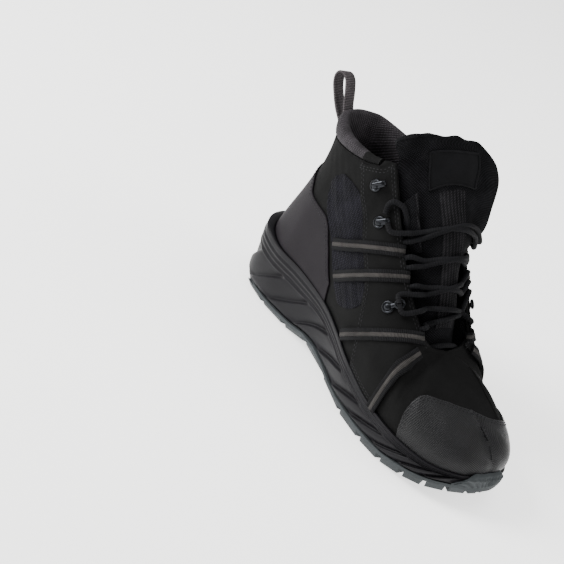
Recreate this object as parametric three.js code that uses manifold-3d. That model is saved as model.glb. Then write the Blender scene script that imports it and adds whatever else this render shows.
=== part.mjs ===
// A laced walking boot for a left foot, in millimetres. +X points to the toe, +Y to the wearer's left, +Z up.
// The origin is on the floor, under the flat tread of the heel.
import * as THREE from "three";
import { mergeVertices } from "three/addons/utils/BufferGeometryUtils.js";
import Module from "manifold-3d";

const wasm = await Module();
wasm.setup();

// Driving sizes
const soleLength = 296;
const ballWidth = 110;
const heelWidth = 80;
const shaftHeight = 168;
const instepHeight = 75;
const toeSpring = 11;
const heelBevel = 5;
const archRise = 6;
const lugDepth = 4.5;
const treadThickness = 3.5;
const heelLift = 21;
const ballLift = 9;
const wall = 2.2;
const overlay = 1.2;
const gap = 0.4;
const webbingWidth = 9;
const webbingThickness = 1.2;
const laceDiameter = 4;
const heelRest = 38;

// Stations run round the boot: 0 at the back of the heel, LAST at the toe, positive on the inner side of
// the foot.
const LAST = 26;
const COLLAR_END = 9;
const THROAT_END = 18;

// The widest outline of the sole. along is a share of soleLength, inner and outer are shares of half the
// local width.
const OUTLINE = [
  { along: 0.0, inner: 0.0, outer: 0.0 },
  { along: 0.015, inner: 0.49, outer: 0.49 },
  { along: 0.066, inner: 0.85, outer: 0.85 },
  { along: 0.155, inner: 0.98, outer: 0.99 },
  { along: 0.27, inner: 0.93, outer: 0.99 },
  { along: 0.382, inner: 0.85, outer: 0.94 },
  { along: 0.493, inner: 0.86, outer: 0.92 },
  { along: 0.601, inner: 0.95, outer: 0.96 },
  { along: 0.703, inner: 0.995, outer: 0.99 },
  { along: 0.8, inner: 0.98, outer: 0.94 },
  { along: 0.877, inner: 0.89, outer: 0.82 },
  { along: 0.937, inner: 0.73, outer: 0.65 },
  { along: 0.978, inner: 0.46, outer: 0.42 },
  { along: 0.997, inner: 0.17, outer: 0.16 },
  { along: 1.0, inner: 0.0, outer: 0.0 },
];

// Heights of the sole. along is a share of soleLength. ground is the foot of the lugs, bed mixes ballLift and
// heelLift, lip is the top edge of the midsole as a share of shaftHeight, brim that edge's thickness and
// tuck how
// far the tread stands in from the outline.
const HEIGHTS = [
  { along: 0.0, ground: heelBevel, bed: 1.0, lip: 0.342, brim: 9, tuck: 5 },
  { along: 0.05, ground: heelBevel * 0.3, bed: 1.0, lip: 0.328, brim: 8, tuck: 4.5 },
  { along: 0.09, ground: 0, bed: 1.0, lip: 0.312, brim: 5.6, tuck: 3 },
  { along: 0.14, ground: 0, bed: 1.0, lip: 0.303, brim: 3.6, tuck: 1.2 },
  { along: 0.26, ground: 0, bed: 0.95, lip: 0.312, brim: 2.4, tuck: 0.3 },
  { along: 0.4, ground: archRise, bed: 0.72, lip: 0.295, brim: 2.2, tuck: 0.3 },
  { along: 0.5, ground: archRise * 0.45, bed: 0.42, lip: 0.262, brim: 2.2, tuck: 0.3 },
  { along: 0.56, ground: 0, bed: 0.2, lip: 0.235, brim: 2.2, tuck: 0.3 },
  { along: 0.7, ground: 0, bed: 0.0, lip: 0.175, brim: 2.2, tuck: 0.3 },
  { along: 0.78, ground: 0, bed: -0.05, lip: 0.158, brim: 2.4, tuck: 0.3 },
  { along: 0.9, ground: toeSpring * 0.42, bed: -0.23, lip: 0.15, brim: 2.6, tuck: 0.3 },
  { along: 1.0, ground: toeSpring, bed: -0.55, lip: 0.163, brim: 2.8, tuck: 0.3 },
];

// The upper, station by station. x is a share of soleLength. welt, how far the foot of the upper stands in
// from
// the outline, the half widths inner and outer, bulge and spread are shares of half the ballWidth. The top
// edge
// stands at shaft times shaftHeight plus vamp times instepHeight: it is the collar, then the throat, then the
// centre line of the vamp. bulge and rise shape the foot of the wall, spread and drop its top.
const UPPER = [
  { station: 0, welt: 0.16, x: 0.081, inner: 0, outer: 0, shaft: 0.994, vamp: 0, bulge: 0.17,
    rise: 0.25, spread: -0.37, outerSpread: -0.37, drop: 0.27 },
  { station: 2, welt: 0.16, x: 0.095, inner: 0.31, outer: 0.33, shaft: 0.991, vamp: 0, bulge: 0.1,
    rise: 0.25, spread: -0.33, outerSpread: -0.33, drop: 0.27 },
  { station: 4, welt: 0.15, x: 0.139, inner: 0.51, outer: 0.545, shaft: 0.979, vamp: 0, bulge: 0.04,
    rise: 0.25, spread: -0.16, outerSpread: -0.16, drop: 0.27 },
  { station: 6, welt: 0.13, x: 0.216, inner: 0.61, outer: 0.673, shaft: 0.967, vamp: 0, bulge: 0.12,
    rise: 0.25, spread: 0.01, outerSpread: 0.01, drop: 0.27 },
  { station: 8, welt: 0.11, x: 0.307, inner: 0.636, outer: 0.709, shaft: 0.985, vamp: 0, bulge: 0.2,
    rise: 0.25, spread: 0.13, outerSpread: 0.13, drop: 0.285 },
  { station: 9, welt: 0.1, x: 0.351, inner: 0.618, outer: 0.7, shaft: 1.009, vamp: 0, bulge: 0.24,
    rise: 0.245, spread: 0.18, outerSpread: 0.18, drop: 0.298 },
  { station: 10, welt: 0.09, x: 0.382, inner: 0.564, outer: 0.655, shaft: 1.024, vamp: 0, bulge: 0.24,
    rise: 0.238, spread: 0.24, outerSpread: 0.24, drop: 0.298 },
  { station: 10.8, welt: 0.09, x: 0.409, inner: 0.545, outer: 0.645, shaft: 0.9, vamp: 0.164,
    bulge: 0.24, rise: 0.226, spread: 0.25, outerSpread: 0.25, drop: 0.274 },
  { station: 12, welt: 0.09, x: 0.473, inner: 0.545, outer: 0.636, shaft: 0.7, vamp: 0.339,
    bulge: 0.19, rise: 0.202, spread: 0.29, outerSpread: 0.24, drop: 0.202 },
  { station: 14, welt: 0.09, x: 0.564, inner: 0.527, outer: 0.6, shaft: 0.4, vamp: 0.637, bulge: 0.09,
    rise: 0.179, spread: 0.31, outerSpread: 0.12, drop: 0.119 },
  { station: 15.6, welt: 0.1, x: 0.639, inner: 0.491, outer: 0.527, shaft: 0.18, vamp: 0.864,
    bulge: 0.09, rise: 0.155, spread: 0.33, outerSpread: 0.02, drop: 0.06 },
  { station: 16.6, welt: 0.11, x: 0.686, inner: 0.436, outer: 0.455, shaft: 0.06, vamp: 0.972,
    bulge: 0.14, rise: 0.149, spread: 0.38, outerSpread: 0.08, drop: 0.03 },
  { station: 17.3, welt: 0.11, x: 0.706, inner: 0.255, outer: 0.255, shaft: 0.01, vamp: 0.997,
    bulge: 0.16, rise: 0.149, spread: 0.49, outerSpread: 0.28, drop: 0.012 },
  { station: 18, welt: 0.11, x: 0.713, inner: 0, outer: 0, shaft: 0, vamp: 0.993, bulge: 0.18,
    rise: 0.19, spread: 0.6, outerSpread: 0.45, drop: 0 },
  { station: 20, welt: 0.11, x: 0.774, inner: 0, outer: 0, shaft: 0, vamp: 0.853, bulge: 0.187,
    rise: 0.176, spread: 0.56, outerSpread: 0.555, drop: 0 },
  { station: 22, welt: 0.11, x: 0.831, inner: 0, outer: 0, shaft: 0, vamp: 0.753, bulge: 0.2,
    rise: 0.15, spread: 0.49, outerSpread: 0.547, drop: 0 },
  { station: 24, welt: 0.11, x: 0.875, inner: 0, outer: 0, shaft: 0, vamp: 0.7, bulge: 0.16,
    rise: 0.115, spread: 0.42, outerSpread: 0.46, drop: 0 },
  { station: 26, welt: 0.11, x: 0.905, inner: 0, outer: 0, shaft: 0, vamp: 0.66, bulge: 0.09,
    rise: 0.102, spread: 0.355, outerSpread: 0.355, drop: 0 },
];

const clamp = (t, low, high) => Math.min(high, Math.max(low, t));
const mix = (a, b, t) => a + (b - a) * t;
const ease = (t) => {
  const s = clamp(t, 0, 1);
  return s * s * (3 - 2 * s);
};

// The slope of a table's column at one row, flat where the column turns, so that nothing overshoots.
function slopeAt(rows, key, column, i) {
  if (i === 0 || i === rows.length - 1) return 0;
  const before = (rows[i][column] - rows[i - 1][column]) / (rows[i][key] - rows[i - 1][key]);
  const after = (rows[i + 1][column] - rows[i][column]) / (rows[i + 1][key] - rows[i][key]);
  return before * after <= 0 ? 0 : (2 * before * after) / (before + after);
}

// A table's column at any value of its key, on a smooth curve through the rows.
function read(rows, key, column, at) {
  const t = clamp(at, rows[0][key], rows[rows.length - 1][key]);
  let i = 0;
  while (i < rows.length - 2 && rows[i + 1][key] < t) i++;
  const width = rows[i + 1][key] - rows[i][key];
  const s = (t - rows[i][key]) / width;
  const a = rows[i][column];
  const b = rows[i + 1][column];
  const slopeA = slopeAt(rows, key, column, i) * width;
  const slopeB = slopeAt(rows, key, column, i + 1) * width;
  return (
    (2 * s ** 3 - 3 * s * s + 1) * a +
    (s ** 3 - 2 * s * s + s) * slopeA +
    (3 * s * s - 2 * s ** 3) * b +
    (s ** 3 - s * s) * slopeB
  );
}

// The sole's half width that an outline share counts from, heel to ball.
const halfWidth = (along) => mix(heelWidth, ballWidth, ease((along - 0.2) / 0.5)) / 2;

// The outline's rows as points, once round: heel, inner side, toe, outer side.
function outlineKnots() {
  const inner = OUTLINE.map((r) => [r.along * soleLength, -r.inner * halfWidth(r.along)]);
  const outer = OUTLINE.slice(1, -1).map((r) => [r.along * soleLength, r.outer * halfWidth(r.along)]);
  return [...inner, ...outer.reverse()];
}
const KNOTS = outlineKnots();

// A point of the sole's outline at a signed station, moved in by inset, with its outward normal.
function outline(station, inset = 0) {
  const n = KNOTS.length;
  const t = ((((station / LAST) * n) / 2) % n) + n;
  const i = Math.floor(t);
  const s = t - i;
  const p = [-1, 0, 1, 2].map((k) => KNOTS[(i + k) % n]);
  const value = (c) =>
    0.5 *
    (2 * p[1][c] +
      (p[2][c] - p[0][c]) * s +
      (2 * p[0][c] - 5 * p[1][c] + 4 * p[2][c] - p[3][c]) * s * s +
      (3 * p[1][c] - p[0][c] - 3 * p[2][c] + p[3][c]) * s ** 3);
  const slope = (c) =>
    0.5 *
    (p[2][c] -
      p[0][c] +
      2 * (2 * p[0][c] - 5 * p[1][c] + 4 * p[2][c] - p[3][c]) * s +
      3 * (3 * p[1][c] - p[0][c] - 3 * p[2][c] + p[3][c]) * s * s);
  const length = Math.hypot(slope(0), slope(1));
  const normal = new THREE.Vector3(slope(1) / length, -slope(0) / length, 0);
  return { point: new THREE.Vector3(value(0), value(1), 0).addScaledVector(normal, -inset), normal };
}

const alongOf = (x) => clamp(x / soleLength, 0, 1);
const heightRow = (x, column) => read(HEIGHTS, "along", column, alongOf(x));
const groundAt = (x) => heightRow(x, "ground");
const lipAt = (x) => heightRow(x, "lip") * shaftHeight;
const treadTop = (x) => groundAt(x) + lugDepth + treadThickness;
const bedAt = (x) => treadTop(x) + gap + mix(ballLift, heelLift, heightRow(x, "bed"));

// A value of the upper's table at a signed station. The half width runs straight through the heel.
function upperRow(station, column) {
  const s = Math.abs(station);
  const byHeel = column === "inner" || column === "outer";
  if (byHeel && s < UPPER[1].station) return (UPPER[1][column] * s) / UPPER[1].station;
  return read(UPPER, "station", column, s);
}

function topEdge(station) {
  const side = station < 0 ? 1 : -1;
  const half = upperRow(station, station < 0 ? "outer" : "inner");
  return new THREE.Vector3(
    upperRow(station, "x") * soleLength,
    (side * half * ballWidth) / 2,
    upperRow(station, "shaft") * shaftHeight + upperRow(station, "vamp") * instepHeight,
  );
}

// The upper's outer face: v is 0 at its foot and 1 at its top edge.
function upperPoint(station, v) {
  const unit = ballWidth / 2;
  const { point: foot, normal } = outline(station, upperRow(station, "welt") * unit);
  foot.setZ(bedAt(foot.x) + gap);
  const top = topEdge(station);
  const before = topEdge(Math.abs(station) - 0.5);
  const after = topEdge(Math.min(LAST, Math.abs(station) + 0.5));
  const onVamp = ease((Math.abs(station) - THROAT_END + 5) / 5);
  const fall = (onVamp * (after.z - before.z)) / Math.max(1, after.x - before.x);
  const out = new THREE.Vector3(normal.x, normal.y, normal.x * fall);
  const low = foot.clone().addScaledVector(normal, upperRow(station, "bulge") * unit);
  low.z += upperRow(station, "rise") * shaftHeight;
  const high = top.clone().addScaledVector(out, upperRow(station,
    station < 0 ? "outerSpread" : "spread") * unit);
  high.z -= upperRow(station, "drop") * shaftHeight;
  return new THREE.CubicBezierCurve3(foot, low, high, top).getPoint(v);
}

// The upper's outward normal, shared by both halves on the centre line of the vamp.
function slopeNormal(station, v) {
  const d = 0.02;
  const along = upperPoint(station + d, v).sub(upperPoint(station - d, v));
  const up = upperPoint(station, Math.min(1, v + d)).sub(upperPoint(station, Math.max(0, v - d)));
  return along.cross(up).normalize();
}

function upperNormal(station, v) {
  const n = slopeNormal(station, v);
  if (v > 0.999 && Math.abs(station) >= THROAT_END) n.add(slopeNormal(-station, v)).setY(0).normalize();
  return n;
}

// A point off the upper's outer face by a distance along its normal.
const offUpper = (station, v, distance) =>
  upperPoint(station, v).addScaledVector(upperNormal(station, v), distance);

// The v at which the upper's face reaches a height.
function vAtHeight(station, z) {
  let low = 0;
  let high = 1;
  for (let i = 0; i < 24; i++) {
    const middle = (low + high) / 2;
    if (upperPoint(station, middle).z < z) low = middle;
    else high = middle;
  }
  return (low + high) / 2;
}

// Collects faces between rows of points and gives one closed geometry.
class Shell {
  constructor() {
    this.positions = [];
  }

  triangle(a, b, c) {
    this.positions.push(a.x, a.y, a.z, b.x, b.y, b.z, c.x, c.y, c.z);
  }

  quad(a, b, c, d) {
    if (a.distanceToSquared(c) <= b.distanceToSquared(d)) {
      this.triangle(a, b, c);
      this.triangle(a, c, d);
    } else {
      this.triangle(a, b, d);
      this.triangle(b, c, d);
    }
  }

  // Joins two rows of points. round closes them into a ring; skip leaves out a column.
  strip(lower, upper, round = false, skip = () => false) {
    const count = round ? lower.length : lower.length - 1;
    for (let i = 0; i < count; i++) {
      const j = (i + 1) % lower.length;
      if (!skip(i)) this.quad(lower[i], lower[j], upper[j], upper[i]);
    }
  }

  geometry() {
    const raw = new THREE.BufferGeometry().setAttribute(
      "position",
      new THREE.Float32BufferAttribute(this.positions, 3),
    );
    return withoutSlivers(mergeVertices(raw, 1e-3));
  }
}

// Drops the triangles whose corners were merged into one another.
function withoutSlivers(geometry) {
  const index = geometry.index.array;
  const kept = [];
  for (let i = 0; i < index.length; i += 3) {
    const [a, b, c] = [index[i], index[i + 1], index[i + 2]];
    if (a !== b && b !== c && c !== a) kept.push(a, b, c);
  }
  geometry.setIndex(kept);
  return geometry;
}

// Geometry to solid and back, for joins and cuts.
function toSolid(geometry) {
  const bare = new THREE.BufferGeometry().setAttribute("position", geometry.getAttribute("position"));
  if (geometry.index) bare.setIndex(geometry.index);
  const merged = withoutSlivers(mergeVertices(bare, 1e-3));
  const mesh = new wasm.Mesh({
    numProp: 3,
    vertProperties: new Float32Array(merged.attributes.position.array),
    triVerts: new Uint32Array(merged.index.array),
  });
  return new wasm.Manifold(mesh);
}

function toGeometry(solid) {
  const mesh = solid.getMesh();
  return new THREE.BufferGeometry()
    .setAttribute("position", new THREE.Float32BufferAttribute(mesh.vertProperties, 3))
    .setIndex(new THREE.BufferAttribute(mesh.triVerts, 1));
}

const join = (geometries) => toGeometry(geometries.map(toSolid).reduce((a, b) => a.add(b)));

const range = (from, to, step = 1) =>
  Array.from({ length: Math.round((to - from) / step) + 1 }, (_, i) => from + i * step);

// Signed stations once round the boot.
const ROUND = [...range(0, LAST), ...range(-LAST + 1, -1)];

// A skin over the upper between two edges, low and high, both functions of station that give v.
// outer and inner are its faces' distances off the upper. round is true for a skin that goes all the way.
function skin({ stations, low, high, outer, inner, rows, round = false }) {
  const face = (distance, j) =>
    stations.map((s) => offUpper(s, mix(low(s), high(s), j / rows), distance));
  const outerRows = range(0, rows).map((j) => face(outer, j));
  const innerRows = range(0, rows).map((j) => face(inner, j));
  const shell = new Shell();
  for (let j = 0; j < rows; j++) {
    shell.strip(outerRows[j], outerRows[j + 1], round);
    shell.strip(innerRows[j + 1], innerRows[j], round);
  }
  const welded = (i) => {
    const next = stations[(i + 1) % stations.length];
    return [stations[i], next].every((s) => Math.abs(s) >= THROAT_END && high(s) > 0.999);
  };
  shell.strip(innerRows[0], outerRows[0], round);
  shell.strip(outerRows[rows], innerRows[rows], round, welded);
  if (!round) {
    const edge = (all, i) => all.map((row) => row[i]);
    const end = stations.length - 1;
    shell.strip(edge(outerRows, 0), edge(innerRows, 0));
    shell.strip(edge(innerRows, end), edge(outerRows, end));
  }
  return shell.geometry();
}

// The stretch of the spine, in shares of soleLength, that flat faces run in to.
const SPINE = { from: 0.09, to: 0.9 };

// Where the middle of the sole runs, between its two sides.
function spineAt(along) {
  const side = (column) => read(OUTLINE, "along", column, along) * halfWidth(along);
  return (side("outer") - side("inner")) / 2;
}

// A point at a share of the way in from the outline to the spine, where the two sides of a flat face meet.
function inward(station, share, z) {
  const edge = outline(Math.abs(station)).point.x / soleLength;
  const along = clamp(edge, SPINE.from, SPINE.to);
  const p = outline(station).point.lerp(new THREE.Vector3(along * soleLength, spineAt(along), 0), share);
  return p.setZ(z(p.x));
}

const INWARD_SHARES = [0.35, 0.7, 1];

// A solid of closed rings, with a flat face below the first ring and one above the last.
function ringSolid(rings, zBelow, zAbove, shares = INWARD_SHARES) {
  const ring = (share, z) => ROUND.map((s) => inward(s, share, z));
  const below = [...shares].reverse().map((share) => ring(share, zBelow));
  const above = shares.map((share) => ring(share, zAbove));
  const all = [...below, ...rings, ...above];
  const shell = new Shell();
  for (let i = 0; i < all.length - 1; i++) shell.strip(all[i], all[i + 1], true);
  return shell.geometry();
}

// Midsole: a foam cup with a raised lip, its sides cut into slanting panels
const SIDE = [
  { rise: 0.0, tuck: 2.2, lean: 0.0, panel: 0 },
  { rise: 0.1, tuck: 0.4, lean: 0.0, panel: 1 },
  { rise: 0.35, tuck: 0.0, lean: 0.12, panel: 1 },
  { rise: 0.6, tuck: 0.0, lean: 0.34, panel: 1 },
  { rise: 0.7, tuck: 1.4, lean: 0.46, panel: 0 },
  { rise: 0.82, tuck: 0.3, lean: 0.68, panel: 0 },
  { rise: 1.0, tuck: 0.0, lean: 1.0, panel: 0 },
];
const panelPitch = 2;
const panelDepth = 1.6;
const panelSlant = 1.3;
const bumperStart = 22;
const bumperThickness = 2.2;

// The slant carries a column of the side towards the toe as it rises, and dies out at the heel and the toe.
const slantAt = (station, rise) =>
  Math.sign(station) * panelSlant * rise * Math.sin((Math.PI * Math.abs(station)) / LAST);

// The midsole's side is let in at the toe, where the outsole's bumper covers it.
const bumperAt = (station) => ease((Math.abs(station) - bumperStart) / 1.5);
const letIn = (station) => (bumperThickness + gap) * bumperAt(station);

function lipPoint(station, distance) {
  const v = lipV(station);
  const normal = upperNormal(station, v).setZ(0).normalize();
  return upperPoint(station, v).addScaledVector(normal, distance);
}

const lipV = (station) => vAtHeight(station, lipAt(outline(station, 6).point.x));

function sidePoint(column, row) {
  const station = column + slantAt(column, row.rise);
  const foot = outline(station, row.tuck + letIn(station));
  const low = treadTop(foot.point.x) + gap;
  const lip = lipPoint(station, gap + heightRow(foot.point.x, "brim"));
  const point = foot.point.clone().lerp(lip, row.lean);
  const grooved = row.panel && Math.abs(column) % panelPitch === 0 && Math.abs(column) < bumperStart;
  return point.addScaledVector(foot.normal, grooved ? -panelDepth : 0).setZ(mix(low, lip.z, row.rise));
}

function midsole() {
  const sides = SIDE.map((row) => ROUND.map((s) => sidePoint(s, row)));
  const inside = [1, 0.66, 0.33].map((share) =>
    ROUND.map((s) => (share === 1 ? lipPoint(s, gap) : offUpper(s, lipV(s) * share, gap))),
  );
  const bed = ROUND.map((s) => {
    const p = offUpper(s, 0, gap);
    return p.setZ(bedAt(p.x));
  });
  return ringSolid([...sides, ...inside, bed], (x) => treadTop(x) + gap, bedAt);
}

// Outsole: a rubber sheet with a bumper round the toe and lugs under it
function outsoleSheet() {
  const ring = (inset, z) =>
    ROUND.map((s) => {
      const tuck = heightRow(outline(s).point.x, "tuck");
      const { point } = outline(s, inset + tuck);
      return point.setZ(z(point.x));
    });
  const under = (x) => groundAt(x) + lugDepth;
  return ringSolid([ring(2.7, under), ring(0, (x) => under(x) + 1), ring(0, treadTop)], under, treadTop);
}

const BUMPER = [
  { rise: -0.12, out: 0 },
  { rise: 0.4, out: 0 },
  { rise: 0.46, out: -0.5 },
  { rise: 0.52, out: 0 },
  { rise: 1.0, out: 0 },
];

// The bumper climbs the midsole's side from the sheet and thins out to both ends.
function bumper() {
  const stations = [...range(bumperStart, LAST), ...range(-LAST + 1, -bumperStart)];
  const at = (station, rise, distance) => {
    const height = mix(0.15, 0.96, bumperAt(station));
    const foot = outline(station, letIn(station));
    const lip = lipPoint(station, gap + heightRow(foot.point.x, "brim"));
    const share = Math.max(0, rise) * height;
    const low = treadTop(foot.point.x) + gap;
    const lean = read(SIDE, "rise", "lean", share);
    const point = foot.point.clone().lerp(lip, lean).addScaledVector(foot.normal, distance);
    return point.setZ(mix(low, lip.z, rise * height));
  };
  const outside = BUMPER.map((row) =>
    stations.map((s) => at(s, row.rise, gap + bumperThickness * bumperAt(s) + 0.3 + row.out * bumperAt(s))),
  );
  const inside = BUMPER.map((row) => stations.map((s) => at(s, row.rise, gap)));
  const shell = new Shell();
  const top = BUMPER.length - 1;
  for (let j = 0; j < top; j++) {
    shell.strip(outside[j], outside[j + 1]);
    shell.strip(inside[j + 1], inside[j]);
  }
  shell.strip(inside[0], outside[0]);
  shell.strip(outside[top], inside[top]);
  const edge = (all, i) => all.map((row) => row[i]);
  shell.strip(edge(outside, 0), edge(inside, 0));
  shell.strip(edge(inside, stations.length - 1), edge(outside, stations.length - 1));
  return shell.geometry();
}

// A lug: a prism from its foot on the ground line into the sheet. Corners run counter-clockwise seen from
// above.
function lug(foot, root) {
  const low = foot.map((c) => new THREE.Vector3(c.x, c.y, groundAt(c.x)));
  const high = root.map((c) => new THREE.Vector3(c.x, c.y, groundAt(c.x) + lugDepth + treadThickness / 2));
  const shell = new Shell();
  shell.strip(low, high, true);
  for (let i = 1; i < foot.length - 1; i++) {
    shell.triangle(low[0], low[i + 1], low[i]);
    shell.triangle(high[0], high[i], high[i + 1]);
  }
  return shell.geometry();
}

// A lug given by its corners alone, with sides that spread a little to the root.
function studLug(corners) {
  const middle = corners.reduce((m, c) => m.add(c), new THREE.Vector2()).divideScalar(corners.length);
  return lug(corners, corners.map((c) => c.clone().sub(middle).multiplyScalar(1.12).add(middle)));
}

// The lugs along the edges, from the heel's V to the toe. at is the station of a lug's rear corner at the
// edge,
// wide its length there in stations, deep how far it reaches in, and slant how far its inner end runs on.
const EDGE_LUGS = [
  { at: 4.1, wide: 1.5, deep: 20, slant: 0.9 },
  { at: 6.0, wide: 1.3, deep: 24, slant: 0.9 },
  { at: 7.7, wide: 1.2, deep: 20, slant: 0.8 },
  { at: 9.3, wide: 1.7, deep: 24, slant: 0.7 },
  { at: 11.4, wide: 1.8, deep: 22, slant: 0.8 },
  { at: 13.6, wide: 1.5, deep: 28, slant: 0.8 },
  { at: 15.5, wide: 1.2, deep: 26, slant: 0.8 },
  { at: 17.1, wide: 1.3, deep: 30, slant: 0.6 },
  { at: 18.8, wide: 1.3, deep: 26, slant: 0.5 },
  { at: 20.5, wide: 1.3, deep: 22, slant: 0.3 },
  { at: 22.2, wide: 1.4, deep: 19, slant: 0.1 },
  { at: 24.1, wide: 1.4, deep: 15, slant: 0.0 },
];

// The feet of the edge lugs stand in from the outline, further at the heel than at the toe.
const footInset = (station) => mix(6, 3, ease((Math.abs(station) - 6) / 8));

function edgeLugs() {
  const flat = ({ point }) => new THREE.Vector2(point.x, point.y);
  return EDGE_LUGS.flatMap((row) =>
    [1, -1].map((side) => {
      const at = (station, inset) => flat(outline(side * station, inset));
      const end = row.at + row.wide;
      const plan = (edge, grow) => [
        at(row.at, edge),
        at(end, edge),
        at(end + row.slant + grow, row.deep * 0.75),
        at(end + row.slant - 0.5, row.deep + grow),
        at(row.at + row.slant - grow, row.deep * 0.8),
      ];
      const order = (corners) => (side > 0 ? corners : corners.reverse());
      return lug(order(plan(footInset(row.at), 0)), order(plan(1.2, 0.1)));
    }),
  );
}

// The heel's crescent, row by row: its rear follows the outline, its front is a V that points to the toe.
// along is a share of soleLength, half a share of half the heelWidth.
const CRESCENT = [
  { along: 0.024, half: 0.34 },
  { along: 0.036, half: 0.5 },
  { along: 0.055, half: 0.63 },
  { along: 0.075, half: 0.68 },
  { along: 0.092, half: 0.55 },
  { along: 0.135, half: 0.29 },
  { along: 0.18, half: 0.03 },
];

function heelCrescent() {
  const row = ({ along, half }, spread, z) => {
    const x = along * soleLength;
    const y = (half * heelWidth) / 2 + spread;
    return [new THREE.Vector3(x, -y, z(x)), new THREE.Vector3(x, y, z(x))];
  };
  const low = CRESCENT.map((r) => row(r, 0, groundAt));
  const high = CRESCENT.map((r) => row(r, 2.5, (x) => groundAt(x) + lugDepth + treadThickness / 2));
  return sectionSolid(low.map(([a, b], i) => [a, high[i][0], high[i][1], b]));
}

// The pieces down the middle: a share of soleLength, half length and half width, and the number of corners.
const STUDS = [
  { along: 0.258, long: 10, wide: 12, corners: 4 },
  { along: 0.352, long: 6, wide: 7, corners: 4 },
  { along: 0.412, long: 6, wide: 10, corners: 8 },
  { along: 0.478, long: 9, wide: 9, corners: 12 },
  { along: 0.548, long: 7.5, wide: 7, corners: 4 },
  { along: 0.616, long: 7.5, wide: 8, corners: 4 },
  { along: 0.688, long: 8, wide: 9, corners: 4 },
  { along: 0.76, long: 8, wide: 9, corners: 4 },
  { along: 0.832, long: 8, wide: 8, corners: 4 },
];

function centreStuds() {
  return STUDS.map((row) => {
    const corners = range(0, row.corners - 1).map((i) => {
      const angle = (2 * Math.PI * i) / row.corners;
      const y = spineAt(row.along) + row.wide * Math.sin(angle);
      return new THREE.Vector2(row.along * soleLength + row.long * Math.cos(angle), y);
    });
    return studLug(corners);
  });
}

function outsole() {
  return join([outsoleSheet(), bumper(), heelCrescent(), ...edgeLugs(), ...centreStuds()]);
}

const insoleThickness = 4.5;

function insole() {
  const inset = wall + 4 * gap;
  const under = (x) => bedAt(x) + gap;
  const over = (x) => bedAt(x) + gap + insoleThickness;
  const ring = (v, z) =>
    ROUND.map((s) => {
      const p = offUpper(s, v, -inset);
      return p.setZ(z(p.x));
    });
  return ringSolid([ring(0.02, under), ring(0.04, over)], under, over, [0.6, 1]);
}

// Where the collar's padded rim takes over from the upper's wall
const RIM = [
  { station: 0, v: 0.88, pad: 1 },
  { station: 4, v: 0.91, pad: 1 },
  { station: 6, v: 0.94, pad: 0.9 },
  { station: 7.6, v: 0.955, pad: 0.6 },
  { station: 9, v: 0.965, pad: 0.25 },
];
const rimV = (station) => read(RIM, "station", "v", Math.abs(station));
const upperTop = (station) => (Math.abs(station) <= COLLAR_END ? rimV(station) : 1);

// The upper's stations stand closer where the throat turns.
const withTurn = (stations) => {
  const half = [...stations, 16.5, 16.8, 17.3].sort((a, b) => a - b);
  return [...half, ...half.slice(1, -1).map((s) => -s).reverse()];
};

function upper() {
  const stations = withTurn(range(0, LAST));
  return skin({ stations, low: () => 0, high: upperTop, outer: 0, inner: -wall, rows: 10, round: true });
}

// The collar's section, once round. share runs from the upper's top edge at 0 to the rim at 1, inside is 1
// on the
// faces behind the wall, puff is the padding off them and lift the height over them, both in millimetres.
const COLLAR = [
  { share: 0, inside: 0, puff: 0.2, lift: gap },
  { share: 0.35, inside: 0, puff: 1.8, lift: gap },
  { share: 0.8, inside: 0, puff: 1.6, lift: gap },
  { share: 1, inside: 0, puff: 0, lift: 1.6 },
  { share: 1, inside: 0.5, puff: -2, lift: 3 },
  { share: 1, inside: 1, puff: -4, lift: 1.8 },
  { share: 0.7, inside: 1, puff: -6.5, lift: 0 },
  { share: 0, inside: 1, puff: -7, lift: 0 },
  { share: -1.3, inside: 1, puff: -5, lift: 0 },
  { share: -2.4, inside: 1, puff: -1.6, lift: 0 },
  { share: -2.5, inside: 1, puff: -0.3, lift: 0 },
  { share: -1.7, inside: 1, puff: -0.3, lift: 0 },
  { share: -0.85, inside: 1, puff: -0.3, lift: 0 },
  { share: 0, inside: 1, puff: -0.3, lift: gap },
];

function collarPoint(station, row) {
  const v = rimV(station);
  const pad = read(RIM, "station", "pad", Math.abs(station));
  const share = v + (1 - v) * row.share;
  const distance = -row.inside * (wall + gap) + row.puff * (Math.abs(row.puff) > 0.5 ? pad : 1);
  const p = offUpper(station, Math.min(1, share), distance);
  p.z += row.lift * (row.lift > gap ? pad : 1);
  return p;
}

// Closes an end of a sweep with a flat face looking out.
function endFace(shell, section, out) {
  const up = section[1].clone().sub(section[0]);
  up.addScaledVector(out, -up.dot(out)).normalize();
  const across = up.clone().cross(out);
  const flat = section.map((p) => new THREE.Vector2(p.dot(across), p.dot(up)));
  for (const corners of THREE.ShapeUtils.triangulateShape(flat, [])) {
    const turned = THREE.ShapeUtils.area(corners.map((i) => flat[i])) < 0 ? corners.reverse() : corners;
    shell.triangle(...turned.map((i) => section[i]));
  }
}

// A solid swept through closed sections, with an end face on the first and the last.
function sectionSolid(sections) {
  const shell = new Shell();
  const end = sections.length - 1;
  for (let i = 0; i < end; i++) shell.strip(sections[i + 1], sections[i], true);
  const away = (from, to) => sections[to][0].clone().sub(sections[from][0]).normalize();
  endFace(shell, sections[0], away(1, 0));
  endFace(shell, sections[end], away(end - 1, end));
  return shell.geometry();
}

function collar() {
  const end = COLLAR_END - 0.15;
  const stations = [-end, ...range(1 - COLLAR_END, COLLAR_END - 1), end];
  return sectionSolid(stations.map((s) => COLLAR.map((row) => collarPoint(s, row))));
}

// An overlay on the upper: skin of a thickness, clear of the midsole's lip and following a table of edges.
const edgeOf = (rows, column) => (station) => read(rows, "station", column, Math.abs(station));
const overLip = (station) => lipV(station) + 0.025;

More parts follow.
